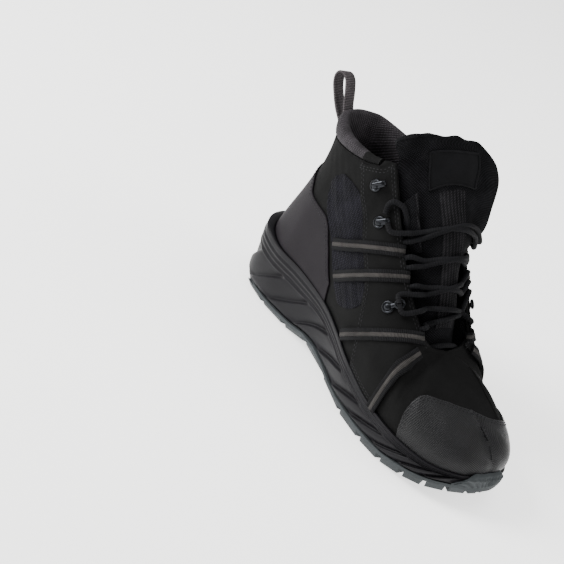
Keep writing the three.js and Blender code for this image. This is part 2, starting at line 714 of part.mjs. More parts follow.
const COUNTER = [
  { station: 0, top: 0.69 },
  { station: 3, top: 0.67 },
  { station: 4.6, top: 0.63 },
  { station: 5.4, top: 0.585 },
  { station: 7.3, top: 0.57 },
  { station: 7.8, top: 0.54 },
  { station: 8.5, top: 0.44 },
  { station: 9.7, top: 0.26 },
];

function heelCounter() {
  return skin({
    stations: [-9.5, ...range(-9, 9), 9.5],
    low: overLip,
    high: edgeOf(COUNTER, "top"),
    outer: gap + overlay,
    inner: gap,
    rows: 5,
  });
}

const TOE_CAP = [
  { station: 17.3, top: 0.33, outerTop: 0.3 },
  { station: 17.5, top: 0.4, outerTop: 0.31 },
  { station: 18, top: 0.48, outerTop: 0.33 },
  { station: 19, top: 0.58, outerTop: 0.38 },
  { station: 20.5, top: 0.75, outerTop: 0.52 },
  { station: 22, top: 0.89, outerTop: 0.79 },
  { station: 23.5, top: 1, outerTop: 1 },
];

function toeCap() {
  const half = [17.3, 17.6, ...range(18, LAST)];
  return skin({
    stations: [...half, ...half.slice(0, -1).reverse().map((s) => -s)],
    low: overLip,
    high: (s) => read(TOE_CAP, "station", s < 0 ? "outerTop" : "top", Math.abs(s)),
    outer: 1.3 * gap + overlay,
    inner: 1.3 * gap,
    rows: 9,
  });
}

// The facing runs from the throat's edge back to a seam on the ankle, and down to the sole ahead of the mesh.
const FACING = [
  { station: 7.8, seam: 0.92, top: 0.945 },
  { station: 8.8, seam: 0.81, top: 0.955 },
  { station: 9.4, seam: 0.755, top: 0.96 },
  { station: 10, seam: 0.715, top: 1 },
  { station: 10.9, seam: 0.665, top: 1 },
  { station: 12, seam: 0.62, top: 1 },
  { station: 12.4, seam: 0.58, top: 1 },
  { station: 12.8, seam: 0.4, top: 1 },
  { station: 13.1, seam: 0.1, top: 1 },
  { station: 15.3, seam: 0.1, top: 1 },
  { station: 15.9, seam: 0.29, top: 1 },
  { station: 16.8, seam: 0.62, top: 1 },
  { station: 17.1, seam: 0.82, top: 1 },
];

function facing(side) {
  const stations = [7.8, 8.4, 9, 9.5, 10, 10.5, 11, 11.5, 12, 12.4, 12.6, 12.8, 13, 13.5, 14, 14.5, 15,
    15.3, 15.6, 16, 16.5, 16.65, 16.8, 16.95, 17.1];
  return skin({
    stations: side > 0 ? stations : stations.map((s) => -s).reverse(),
    low: (s) => Math.max(overLip(s), edgeOf(FACING, "seam")(s)),
    high: edgeOf(FACING, "top"),
    outer: 1.3 * gap + overlay,
    inner: 1.3 * gap,
    rows: 7,
  });
}

// Webbing strips: each row is a point of the strip's middle, over is 1 where it lies on the facing.
const STRIPS = {
  ankle: [
    { at: 0, station: 8.85, v: 0.465, over: 0 },
    { at: 0.3, station: 10.2, v: 0.555, over: 0.4 },
    { at: 0.5, station: 11.2, v: 0.64, over: 1 },
    { at: 0.65, station: 11.9, v: 0.73, over: 1 },
    { at: 1, station: 13.15, v: 0.975, over: 1 },
  ],
  instep: [
    { at: 0, station: 9.75, v: 0.33, over: 0 },
    { at: 0.45, station: 11.9, v: 0.58, over: 0.6 },
    { at: 0.6, station: 12.6, v: 0.69, over: 1 },
    { at: 1, station: 14.15, v: 0.975, over: 1 },
  ],
  waist: [
    { at: 0, station: 12.0, v: 0.27, over: 0.6 },
    { at: 0.2, station: 12.9, v: 0.36, over: 1 },
    { at: 0.55, station: 14.4, v: 0.55, over: 1 },
    { at: 0.85, station: 16.0, v: 0.82, over: 1 },
    { at: 1, station: 16.6, v: 0.965, over: 1 },
  ],
  ball: [
    { at: 0, station: 15.45, v: 0.215, over: 1 },
    { at: 0.25, station: 15.85, v: 0.3, over: 1 },
    { at: 0.65, station: 16.55, v: 0.55, over: 1.5 },
    { at: 1, station: 16.95, v: 0.76, over: 1.5 },
  ],
};

// The station and v that a short move along the upper leads to.
function moved(station, v, move) {
  const d = 0.01;
  const along = upperPoint(station + d, v).sub(upperPoint(station - d, v)).divideScalar(2 * d);
  const up = upperPoint(station, v).sub(upperPoint(station, v - d)).divideScalar(d);
  const [aa, ab, bb] = [along.dot(along), along.dot(up), up.dot(up)];
  const [am, bm] = [along.dot(move), up.dot(move)];
  const size = aa * bb - ab * ab;
  return [station + (am * bb - bm * ab) / size, Math.min(1, v + (bm * aa - am * ab) / size)];
}

function strip(rows, side) {
  const place = (t) => [side * read(rows, "at", "station", t), read(rows, "at", "v", t)];
  const sections = range(0, 1, 0.1).map((t) => {
    const [station, v] = place(t);
    const ahead = upperPoint(...place(Math.min(1, t + 0.02))).sub(upperPoint(...place(Math.max(0,
      t - 0.02))));
    const across = upperNormal(station, v).cross(ahead.normalize()).normalize();
    const base = gap * 2.8 + read(rows, "at", "over", t) * (overlay + gap);
    const corner = (w, lift) => {
      const [cornerStation, cornerV] = moved(station, v, across.clone().multiplyScalar(w));
      return offUpper(cornerStation, cornerV, base + lift);
    };
    const half = webbingWidth / 2;
    return [corner(-half, 0), corner(-half, webbingThickness), corner(half, webbingThickness),
      corner(half, 0)];
  });
  return sectionSolid(sections);
}

// Tongue, row by row from under the vamp to its top. The middle of a row stands at x times soleLength,
// shift times
// half the ballWidth, and shaft times shaftHeight plus vamp times instepHeight. Each edge lies back and
// drop below
// it, as shares of instepHeight, and half to the side, as a share of half the ballWidth. thick is in
// millimetres.
const TONGUE = [
  { row: 0, x: 0.757, shift: 0, shaft: 0, vamp: 0.8, inner: [0.4, 0.05, 0.11], outer: [0.4, 0.05,
    0.11], thick: 4 },
  { row: 1, x: 0.704, shift: 0, shaft: 0, vamp: 0.94, inner: [0.42, 0.05, 0.15], outer: [0.42, 0.05,
    0.15], thick: 4.5 },
  { row: 2, x: 0.682, shift: 0, shaft: 0, vamp: 1.07, inner: [0.45, 0.11, 0.17], outer: [0.45, 0.11,
    0.17], thick: 5 },
  { row: 3, x: 0.652, shift: 0.02, shaft: 0.16, vamp: 0.975, inner: [0.47, 0.2, 0.19], outer: [0.49,
    0.19, 0.18], thick: 6 },
  { row: 4, x: 0.601, shift: 0.04, shaft: 0.36, vamp: 0.874, inner: [0.5, 0.28, 0.29], outer: [0.49,
    0.24, 0.26], thick: 7 },
  { row: 5, x: 0.557, shift: 0.06, shaft: 0.56, vamp: 0.706, inner: [0.54, 0.33, 0.31], outer: [0.54,
    0.08, 0.21], thick: 8 },
  { row: 6, x: 0.497, shift: 0.07, shaft: 0.75, vamp: 0.52, inner: [0.57, 0.31, 0.24], outer: [0.65,
    -0.15, 0.25], thick: 9 },
  { row: 7, x: 0.456, shift: 0.08, shaft: 0.95, vamp: 0.272, inner: [0.54, 0.32, 0.11], outer: [0.7,
    -0.24, 0.23], thick: 10 },
  { row: 8, x: 0.436, shift: 0.09, shaft: 1.143, vamp: 0, inner: [0.71, 0.27, 0.1], outer: [0.73,
    -0.23, 0.16], thick: 10 },
  { row: 9, x: 0.424, shift: 0.1, shaft: 1.175, vamp: 0, inner: [0.73, 0.23, 0.13], outer: [0.69,
    -0.19, 0.11], thick: 9 },
  { row: 10, x: 0.416, shift: 0.115, shaft: 1.2, vamp: 0, inner: [0.65, 0.16, 0.11], outer: [0.56,
    -0.13, 0.07], thick: 7 },
  { row: 11, x: 0.41, shift: 0.12, shaft: 1.21, vamp: 0, inner: [0.52, 0.1, 0.08], outer: [0.44, -0.09,
    0.03], thick: 4 },
];
const TONGUE_TOP = TONGUE.length - 1;

// The tongue's rows as plain points, for reading between them.
const TONGUE_POINTS = TONGUE.map((r) => {
  const unit = ballWidth / 2;
  const middle = [r.x * soleLength, r.shift * unit, r.shaft * shaftHeight + r.vamp * instepHeight];
  const edge = ([half, back, drop], side) => [
    middle[0] - back * instepHeight,
    middle[1] + side * half * unit,
    middle[2] - drop * instepHeight,
  ];
  const [ix, iy, iz] = edge(r.inner, -1);
  const [ox, oy, oz] = edge(r.outer, 1);
  const [mx, my, mz] = middle;
  return { row: r.row, mx, my, mz, ix, iy, iz, ox, oy, oz, thick: r.thick };
});

// The tongue's front: row as in the table, j from -1 at the inner edge to 1 at the outer edge.
function tongueFront(row, j) {
  const at = (column) => read(TONGUE_POINTS, "row", column, row);
  const coordinate = (axis) => {
    const [inner, middle, outer] = [at(`i${axis}`), at(`m${axis}`), at(`o${axis}`)];
    return middle + ((outer - inner) / 2) * j + ((inner + outer) / 2 - middle) * j * j;
  };
  return new THREE.Vector3(coordinate("x"), coordinate("y"), coordinate("z"));
}

function tongueNormal(row, j) {
  const d = 0.03;
  const up = tongueFront(Math.min(TONGUE_TOP, row + d), j).sub(tongueFront(Math.max(0, row - d), j));
  const across = tongueFront(row, Math.min(1, j + d)).sub(tongueFront(row, Math.max(-1, j - d)));
  return across.cross(up).normalize();
}

function tongue() {
  const across = range(-1, 1, 0.25);
  const rows = [0, 1, ...range(2, 8, 0.5), ...range(9, TONGUE_TOP)];
  const front = rows.map((r) => across.map((j) => tongueFront(r, j)));
  const back = rows.map((r) =>
    across.map((j) => {
      const depth = read(TONGUE_POINTS, "row", "thick", r) * (1 - 0.75 * j ** 4);
      return tongueFront(r, j).addScaledVector(tongueNormal(r, j), -depth);
    }),
  );
  const shell = new Shell();
  const top = rows.length - 1;
  for (let i = 0; i < top; i++) {
    shell.strip(front[i], front[i + 1]);
    shell.strip(back[i + 1], back[i]);
  }
  shell.strip(back[0], front[0]);
  shell.strip(front[top], back[top]);
  const edge = (all, i) => all.map((row) => row[i]);
  shell.strip(edge(front, 0), edge(back, 0));
  shell.strip(edge(back, across.length - 1), edge(front, across.length - 1));
  return shell.geometry();
}

// A round bar along a smooth curve.
function bar(points, diameter, sides, steps) {
  const section = new THREE.Shape();
  for (let i = 0; i < sides; i++) {
    const angle = (2 * Math.PI * i) / sides;
    const [x, y] = [(diameter / 2) * Math.cos(angle), (diameter / 2) * Math.sin(angle)];
    if (i) section.lineTo(x, y);
    else section.moveTo(x, y);
  }
  const path = new THREE.CatmullRomCurve3(points);
  return new THREE.ExtrudeGeometry(section, { steps, extrudePath: path, bevelEnabled: false });
}

// A point beside the throat's edge: reach towards the middle of the throat, out to the front of it.
function besideThroat(station, reach, out) {
  const along = topEdge(station + 0.1).sub(topEdge(station - 0.1)).normalize();
  const inwards = new THREE.Vector3(0, Math.sign(station), 0);
  inwards.addScaledVector(along, -inwards.dot(along)).normalize();
  const front = along.clone().cross(inwards).multiplyScalar(Math.sign(station));
  if (front.z < 0) front.negate();
  return topEdge(station).addScaledVector(inwards, reach).addScaledVector(front, out);
}

// Lace runs. near and far are stations of the loops that hold a run on the inner and the outer side, nearV
// is below
// 1 where a run goes on over the facing to the hardware, nearRow and
// farRow where it lies on the tongue there. wrap is how far it turns round the tongue's outer edge, in
// radians.
const LACE_RUNS = [
  { near: 16.3, nearV: 1, nearRow: 2.55, farRow: 2.95, far: 14.9, wrap: 0 },
  { near: 15.25, nearV: 0.83, nearRow: 3.05, farRow: 2.9, far: 16.1, wrap: 0 },
  { near: 14.6, nearV: 0.86, nearRow: 3.38, farRow: 3.7, far: 14.1, wrap: 0 },
  { near: 14.65, nearV: 1, nearRow: 3.58, farRow: 3.35, far: 14.5, wrap: 0 },
  { near: 13.9, nearV: 1, nearRow: 4.08, farRow: 4.45, far: 13.4, wrap: 0 },
  { near: 13.5, nearV: 1, nearRow: 4.25, farRow: 4.2, far: 13.6, wrap: 0 },
  { near: 12.9, nearV: 1, nearRow: 4.85, farRow: 5.55, far: 12.0, wrap: 1.1 },
  { near: 12.2, nearV: 0.92, nearRow: 5.05, farRow: 5.2, far: 12.4, wrap: 1.1 },
];
const laceClearance = 1;
const laceOff = laceDiameter / 2 + laceClearance;
const laceOnFacing = 2 * gap + overlay + laceOff;

function laceRun(run) {
  const onTongue = (j) => {
    const row = mix(run.nearRow, run.farRow, (j + 0.7) / 1.55);
    return tongueFront(row, j).addScaledVector(tongueNormal(row, j), laceOff);
  };
  const middle = [-0.6, -0.3, 0, 0.3, ...(run.wrap ? [0.6, 0.8] : [0.55])].map(onTongue);
  const round = run.wrap ? [roundTongue(run.farRow, run.wrap)] : [];
  const far = run.wrap ? besideThroat(-run.far, -2.8, 4.2) : besideThroat(-run.far, 2.6, 4.6);
  const near =
    run.nearV < 1
      ? [offUpper(run.near, run.nearV, laceOnFacing), besideThroat(run.near + 0.4, 0.5, 5)]
      : [besideThroat(run.near, 2.6, 4)];
  return bar([...near, ...middle, ...round, far], laceDiameter, 6, 12);
}

// A point off the tongue's outer edge, turned from its front towards its side.
function roundTongue(row, turn) {
  const normal = tongueNormal(row, 1);
  const side = tongueFront(row, 1).sub(tongueFront(row, 0.9)).normalize();
  const out = normal.multiplyScalar(Math.cos(turn)).addScaledVector(side, Math.sin(turn));
  return tongueFront(row, 1).addScaledVector(out, laceOff + 1.4);
}

const laceCross = (pair) => join([laceRun(LACE_RUNS[2 * pair]), laceRun(LACE_RUNS[2 * pair + 1])]);

// The lowest bar lies across the foot of the throat.
function laceBar() {
  const points = range(-0.72, 0.72, 0.36).map((j) =>
    tongueFront(1.55, j).addScaledVector(tongueNormal(1.55, j), laceOff),
  );
  return bar(points, laceDiameter, 6, 10);
}

// The free end goes round the lower hook's tab, up over the facing and in behind the throat's edge.
function laceEnd() {
  const onFacingAt = (station, v) => offUpper(station, v, laceOnFacing);
  const points = [
    onFacingAt(11.5, 0.9),
    onFacingAt(11.35, 0.935),
    onFacingAt(11.45, 0.98),
    besideThroat(11.7, -0.5, 4.2),
    besideThroat(11.95, 2.4, 3.6),
  ];
  return bar(points, laceDiameter, 6, 10);
}

// Lace hardware, made lying flat: x to the throat, z off the leather
const rivetRadius = 4;
const rivetHeight = 1.4;
const hookWidth = 5;
const metalThickness = 1.1;
const mouthHeight = 4.8;

const rivet = (radius, height) =>
  new THREE.CylinderGeometry(radius * 0.8, radius, height, 12).rotateX(Math.PI / 2).translate(0, 0,
    height / 2);

function lacingHook() {
  const reach = rivetRadius + 5;
  const profile = new THREE.Shape();
  profile.moveTo(0, 0);
  profile.lineTo(reach, 0);
  profile.lineTo(reach + 1, mouthHeight / 2);
  profile.lineTo(reach, mouthHeight + metalThickness);
  profile.lineTo(-1.5, mouthHeight + metalThickness + 0.6);
  profile.lineTo(-1.5, mouthHeight + 0.4);
  profile.lineTo(reach - 1.2, mouthHeight);
  profile.lineTo(reach - 0.4, mouthHeight / 2);
  profile.lineTo(reach - 1.2, metalThickness);
  profile.lineTo(0, metalThickness);
  const plate = new THREE.ExtrudeGeometry(profile, { depth: hookWidth, bevelEnabled: false });
  plate.rotateX(Math.PI / 2).translate(0, hookWidth / 2, 0);
  return join([rivet(rivetRadius, rivetHeight), plate]);
}

function lacingRing() {
  const tab = new THREE.BoxGeometry(2 * rivetRadius, hookWidth, metalThickness);
  tab.translate(rivetRadius, 0, metalThickness / 2 + 0.2);
  const ring = new THREE.TorusGeometry(3.2, 0.9, 5, 10).scale(1.15, 1, 1);
  ring.translate(2 * rivetRadius + 1.8, 0, 1.4);
  return join([rivet(rivetRadius, rivetHeight), tab, ring]);
}

// Hardware places: the station and v of a rivet, and those of the point that its tab looks to.
const HARDWARE = [
  { name: "hook_upper", make: lacingHook, station: 9.8, v: 0.865, toStation: 10.45, toV: 0.92 },
  { name: "hook_lower", make: lacingHook, station: 11.4, v: 0.83, toStation: 11.85, toV: 0.925 },
  { name: "ring", make: lacingRing, station: 14.4, v: 0.72, toStation: 15, toV: 0.86 },
];

// Turns a piece made lying flat onto the facing.
function onFacing(geometry, { station, v, toStation, toV }, side) {
  const normal = upperNormal(side * station, v);
  const x = upperPoint(side * toStation, toV).sub(upperPoint(side * station, v));
  x.addScaledVector(normal, -x.dot(normal)).normalize();
  const y = normal.clone().cross(x);
  const place = offUpper(side * station, v, overlay + 2.6 * gap);
  return geometry.applyMatrix4(new THREE.Matrix4().makeBasis(x, y, normal).setPosition(place));
}

// Pull loop: webbing from the back of the ankle up and back down, both ends behind the rim. Its free part
// is given
// from the rim's back: back is a share of soleLength behind it, up a share of shaftHeight over it.
const LOOP = [
  { back: 0.003, up: -0.098 },
  { back: 0.024, up: -0.069 },
  { back: 0.05, up: -0.036 },
  { back: 0.075, up: 0.008 },
  { back: 0.097, up: 0.057 },
  { back: 0.102, up: 0.092 },
  { back: 0.093, up: 0.117 },
  { back: 0.076, up: 0.123 },
  { back: 0.059, up: 0.108 },
  { back: 0.047, up: 0.077 },
  { back: 0.038, up: 0.048 },
  { back: 0.029, up: 0.012 },
  { back: 0.016, up: -0.023 },
  { back: 0.005, up: -0.049 },
  { back: -0.001, up: -0.072 },
];
const loopWidth = 10;
const loopThickness = 1.8;
const loopShift = 3;

function pullLoop() {
  const leg = (v, off) => {
    const p = offUpper(0, v, loopThickness / 2 + gap + off);
    return new THREE.Vector2(p.x, p.z);
  };
  const rim = topEdge(0);
  const free = LOOP.map((r) => new THREE.Vector2(rim.x - r.back * soleLength, rim.z + r.up * shaftHeight));
  const curve = new THREE.SplineCurve([leg(0.74, 0), leg(0.8, 0), leg(0.86, 0.8), ...free]);
  const side = (w) =>
    range(0, 1, 1 / 30).map((t) => {
      const ahead = curve.getTangent(t);
      return curve.getPoint(t).add(new THREE.Vector2(-ahead.y, ahead.x).multiplyScalar(w));
    });
  const half = loopThickness / 2;
  const shape = new THREE.Shape([...side(half), ...side(-half).reverse()]);
  const band = new THREE.ExtrudeGeometry(shape, { depth: loopWidth, bevelEnabled: false });
  return band.rotateX(Math.PI / 2).translate(0, loopWidth / 2 - loopShift, 0);
}

const COLOURS = {
  rubber: new THREE.MeshStandardMaterial({ color: 0x3a4043, roughness: 0.75, metalness: 0 }),
  foam: new THREE.MeshStandardMaterial({ color: 0x2b292d, roughness: 0.6, metalness: 0 }),
  nubuck: new THREE.MeshStandardMaterial({ color: 0x121314, roughness: 0.9, metalness: 0 }),
  mesh: new THREE.MeshStandardMaterial({ color: 0x2b2a2c, roughness: 0.95, metalness: 0 }),
  counter: new THREE.MeshStandardMaterial({ color: 0x353135, roughness: 0.6, metalness: 0 }),
  cap: new THREE.MeshStandardMaterial({ color: 0x18181a, roughness: 0.7, metalness: 0 }),
  webbing: new THREE.MeshStandardMaterial({ color: 0x2a2a2a, roughness: 0.9, metalness: 0 }),
  lace: new THREE.MeshStandardMaterial({ color: 0x1c1e1f, roughness: 0.85, metalness: 0 }),
  gunmetal: new THREE.MeshStandardMaterial({ color: 0x3a3b3d, roughness: 0.3, metalness: 1 }),
  lining: new THREE.MeshStandardMaterial({ color: 0x1a1a1c, roughness: 0.95, metalness: 0 }),
};

const boot = new THREE.Group();
boot.position.x = -heelRest;

function add(name, geometry, material) {
  const mesh = new THREE.Mesh(geometry, material);
  mesh.name = name;
  boot.add(mesh);
}

add("outsole", outsole(), COLOURS.rubber);
add("midsole", midsole(), COLOURS.foam);
add("insole", insole(), COLOURS.lining);
add("upper", upper(), COLOURS.nubuck);
add("collar", collar(), COLOURS.mesh);
add("heel_counter", heelCounter(), COLOURS.counter);
add("toe_cap", toeCap(), COLOURS.cap);
add("tongue", tongue(), COLOURS.mesh);
add("pull_loop", pullLoop(), COLOURS.webbing);
add("lace_bar", laceBar(), COLOURS.lace);
add("lace_end", laceEnd(), COLOURS.lace);
for (const pair of range(0, LACE_RUNS.length / 2 - 1)) add(`lace_cross_${pair + 1}`, laceCross(pair),
  COLOURS.lace);
for (const [name, side] of [["inner", 1], ["outer", -1]]) {
  for (const row of HARDWARE) add(`${row.name}_${name}`, onFacing(row.make(), row, side), COLOURS.gunmetal);
  add(`facing_${name}`, facing(side), COLOURS.nubuck);
  for (const [place, rows] of Object.entries(STRIPS)) add(`strip_${place}_${name}`, strip(rows, side),
    COLOURS.webbing);
}

const part = new THREE.Group();
part.add(boot);
export default part;
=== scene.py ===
"""Looks of a laced walking boot for a left foot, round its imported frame. Sizes are in millimetres."""
import logging
import math
from collections.abc import Callable, Sequence
from dataclasses import dataclass
from enum import Enum

import bmesh
import bpy
import numpy as np
from mathutils import Matrix, Vector


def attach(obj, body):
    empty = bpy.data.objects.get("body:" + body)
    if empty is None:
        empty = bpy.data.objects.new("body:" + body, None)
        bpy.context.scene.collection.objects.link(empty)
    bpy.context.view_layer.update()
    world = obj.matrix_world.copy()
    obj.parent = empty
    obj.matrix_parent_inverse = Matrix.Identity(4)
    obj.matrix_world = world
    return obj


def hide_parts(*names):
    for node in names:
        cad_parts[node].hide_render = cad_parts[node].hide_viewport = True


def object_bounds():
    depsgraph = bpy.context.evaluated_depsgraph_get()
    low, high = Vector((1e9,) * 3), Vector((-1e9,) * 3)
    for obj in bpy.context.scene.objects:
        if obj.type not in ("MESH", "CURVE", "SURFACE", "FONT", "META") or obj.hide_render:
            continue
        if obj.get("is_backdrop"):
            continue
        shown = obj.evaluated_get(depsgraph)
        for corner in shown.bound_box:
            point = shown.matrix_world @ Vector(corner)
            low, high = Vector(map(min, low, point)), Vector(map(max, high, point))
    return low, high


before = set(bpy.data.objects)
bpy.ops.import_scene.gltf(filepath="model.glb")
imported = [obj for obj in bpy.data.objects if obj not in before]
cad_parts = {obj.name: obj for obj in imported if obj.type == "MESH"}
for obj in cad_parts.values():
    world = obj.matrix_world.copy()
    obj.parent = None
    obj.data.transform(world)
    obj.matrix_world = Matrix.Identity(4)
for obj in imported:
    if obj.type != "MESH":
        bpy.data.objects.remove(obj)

CAD_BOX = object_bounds()
Array = np.ndarray
MM = 0.001
# From the back of the heel to the frame's origin.
HEEL_REST = 38.0
# How far apart, in stations, the columns of the overlays lie.
SEWN_STEP = 0.05
logging.basicConfig(level=logging.INFO, format="%(message)s")
LOG = logging.getLogger("boot")


class Side(Enum):
    """The two sides of the foot, as the sign of their stations."""

    INNER = 1
    OUTER = -1

    @property
    def label(self) -> str:
        """The side's word in piece names."""
        return self.name.lower()


class Table:
    """Rows of named columns, read on a smooth curve that never overshoots."""

    def __init__(self, columns: str, rows: Sequence[Sequence[float]]) -> None:
        """Keeps the columns by name; the first one is the key."""
        names = columns.split()
        self.columns = {name: np.array([row[i] for row in rows], float) for i, name in enumerate(names)}
        self.key = self.columns[names[0]]

    def read(self, column: str, at: Array | float) -> Array:
        """Reads a column between the rows.

        Args:
            column: The column's name.
            at: Values of the key, clamped to the table.

        Returns:
            The column's values there.
        """
        key, value = self.key, self.columns[column]
        t = np.clip(np.asarray(at, float), key[0], key[-1])
        i = np.clip(np.searchsorted(key, t, side="left") - 1, 0, len(key) - 2)
        step = np.diff(value) / np.diff(key)
        slope = np.zeros(len(key))
        before, after = step[:-1], step[1:]
        turning = before * after <= 0
        slope[1:-1] = np.where(turning, 0, 2 * before * after / np.where(turning, 1, before + after))
        width = key[i + 1] - key[i]
        s = (t - key[i]) / width
        return (
            (2 * s**3 - 3 * s**2 + 1) * value[i]
            + (s**3 - 2 * s**2 + s) * slope[i] * width
            + (3 * s**2 - 2 * s**3) * value[i + 1]
            + (s**3 - s**2) * slope[i + 1] * width
        )


def ease(t: Array | float) -> Array:
    """A smooth step from 0 to 1."""
    s = np.clip(t, 0, 1)
    return s * s * (3 - 2 * s)


def unit(vectors: Array) -> Array:
    """Vectors of length 1, along the last axis."""
    return vectors / np.maximum(np.linalg.norm(vectors, axis=-1, keepdims=True), 1e-9)


def bump_at(t: Array, centre: float, width: float) -> Array:
    """A soft bump of height 1."""
    return np.exp(-(((t - centre) / width) ** 2))


def distance(points: Array) -> Array:
    """How far along a line each of its points lies."""
    return np.concatenate([[0], np.cumsum(np.linalg.norm(np.diff(points, axis=0), axis=1))])


def read_line(at: Array, run: Array, values: Array) -> Array:
    """Reads triples that belong to the distances in run at other distances."""
    return np.stack([np.interp(at, run, values[:, k]) for k in range(3)], -1)


def steps(start: float, end: float, step: float) -> Array:
    """Even values from start to end, about a step apart."""
    return np.linspace(start, end, max(2, round(abs(end - start) / step) + 1))


OUTLINE = Table("along inner outer", [
    (0.0, 0.0, 0.0), (0.015, 0.49, 0.49), (0.066, 0.85, 0.85), (0.155, 0.98, 0.99), (0.27, 0.93, 0.99),
    (0.382, 0.85, 0.94), (0.493, 0.86, 0.92), (0.601, 0.95, 0.96), (0.703, 0.995, 0.99), (0.8, 0.98, 0.94),
    (0.877, 0.89, 0.82), (0.937, 0.73, 0.65), (0.978, 0.46, 0.42), (0.997, 0.17, 0.16), (1.0, 0.0, 0.0),
])

HEIGHTS = Table("along ground bed lip brim tuck", [
    (0.0, 5.0, 1.0, 0.342, 9, 5), (0.05, 1.5, 1.0, 0.328, 8, 4.5), (0.09, 0, 1.0, 0.312, 5.6, 3),
    (0.14, 0, 1.0, 0.303, 3.6, 1.2), (0.26, 0, 0.95, 0.312, 2.4, 0.3), (0.4, 6.0, 0.72, 0.295, 2.2, 0.3),
    (0.5, 2.7, 0.42, 0.262, 2.2, 0.3), (0.56, 0, 0.2, 0.235, 2.2, 0.3), (0.7, 0, 0.0, 0.175, 2.2, 0.3),
    (0.78, 0, -0.05, 0.158, 2.4, 0.3), (0.9, 4.6, -0.23, 0.15, 2.6, 0.3), (1, 11, -0.55, 0.163, 2.8, 0.3),
])

UPPER = Table("station welt x inner outer shaft vamp bulge rise spread outer_spread drop", [
    (0, 0.16, 0.081, 0, 0, 0.994, 0, 0.17, 0.25, -0.37, -0.37, 0.27),
    (2, 0.16, 0.095, 0.31, 0.33, 0.991, 0, 0.1, 0.25, -0.33, -0.33, 0.27),
    (4, 0.15, 0.139, 0.51, 0.545, 0.979, 0, 0.04, 0.25, -0.16, -0.16, 0.27),
    (6, 0.13, 0.216, 0.61, 0.673, 0.967, 0, 0.12, 0.25, 0.01, 0.01, 0.27),
    (8, 0.11, 0.307, 0.636, 0.709, 0.985, 0, 0.2, 0.25, 0.13, 0.13, 0.285),
    (9, 0.1, 0.351, 0.618, 0.7, 1.009, 0, 0.24, 0.245, 0.18, 0.18, 0.298),
    (10, 0.09, 0.382, 0.564, 0.655, 1.024, 0, 0.24, 0.238, 0.24, 0.24, 0.298),
    (10.8, 0.09, 0.409, 0.545, 0.645, 0.9, 0.164, 0.24, 0.226, 0.25, 0.25, 0.274),
    (12, 0.09, 0.473, 0.545, 0.636, 0.7, 0.339, 0.19, 0.202, 0.29, 0.24, 0.202),
    (14, 0.09, 0.564, 0.527, 0.6, 0.4, 0.637, 0.09, 0.179, 0.31, 0.12, 0.119),
    (15.6, 0.1, 0.639, 0.491, 0.527, 0.18, 0.864, 0.09, 0.155, 0.33, 0.02, 0.06),
    (16.6, 0.11, 0.686, 0.436, 0.455, 0.06, 0.972, 0.14, 0.149, 0.38, 0.08, 0.03),
    (17.3, 0.11, 0.706, 0.255, 0.255, 0.01, 0.997, 0.16, 0.149, 0.49, 0.28, 0.012),
    (18, 0.11, 0.713, 0, 0, 0, 0.993, 0.18, 0.19, 0.6, 0.45, 0),
    (20, 0.11, 0.774, 0, 0, 0, 0.853, 0.187, 0.176, 0.56, 0.555, 0),
    (22, 0.11, 0.831, 0, 0, 0, 0.753, 0.2, 0.15, 0.49, 0.547, 0),
    (24, 0.11, 0.875, 0, 0, 0, 0.7, 0.16, 0.115, 0.42, 0.46, 0),
    (26, 0.11, 0.905, 0, 0, 0, 0.66, 0.09, 0.102, 0.355, 0.355, 0),
])


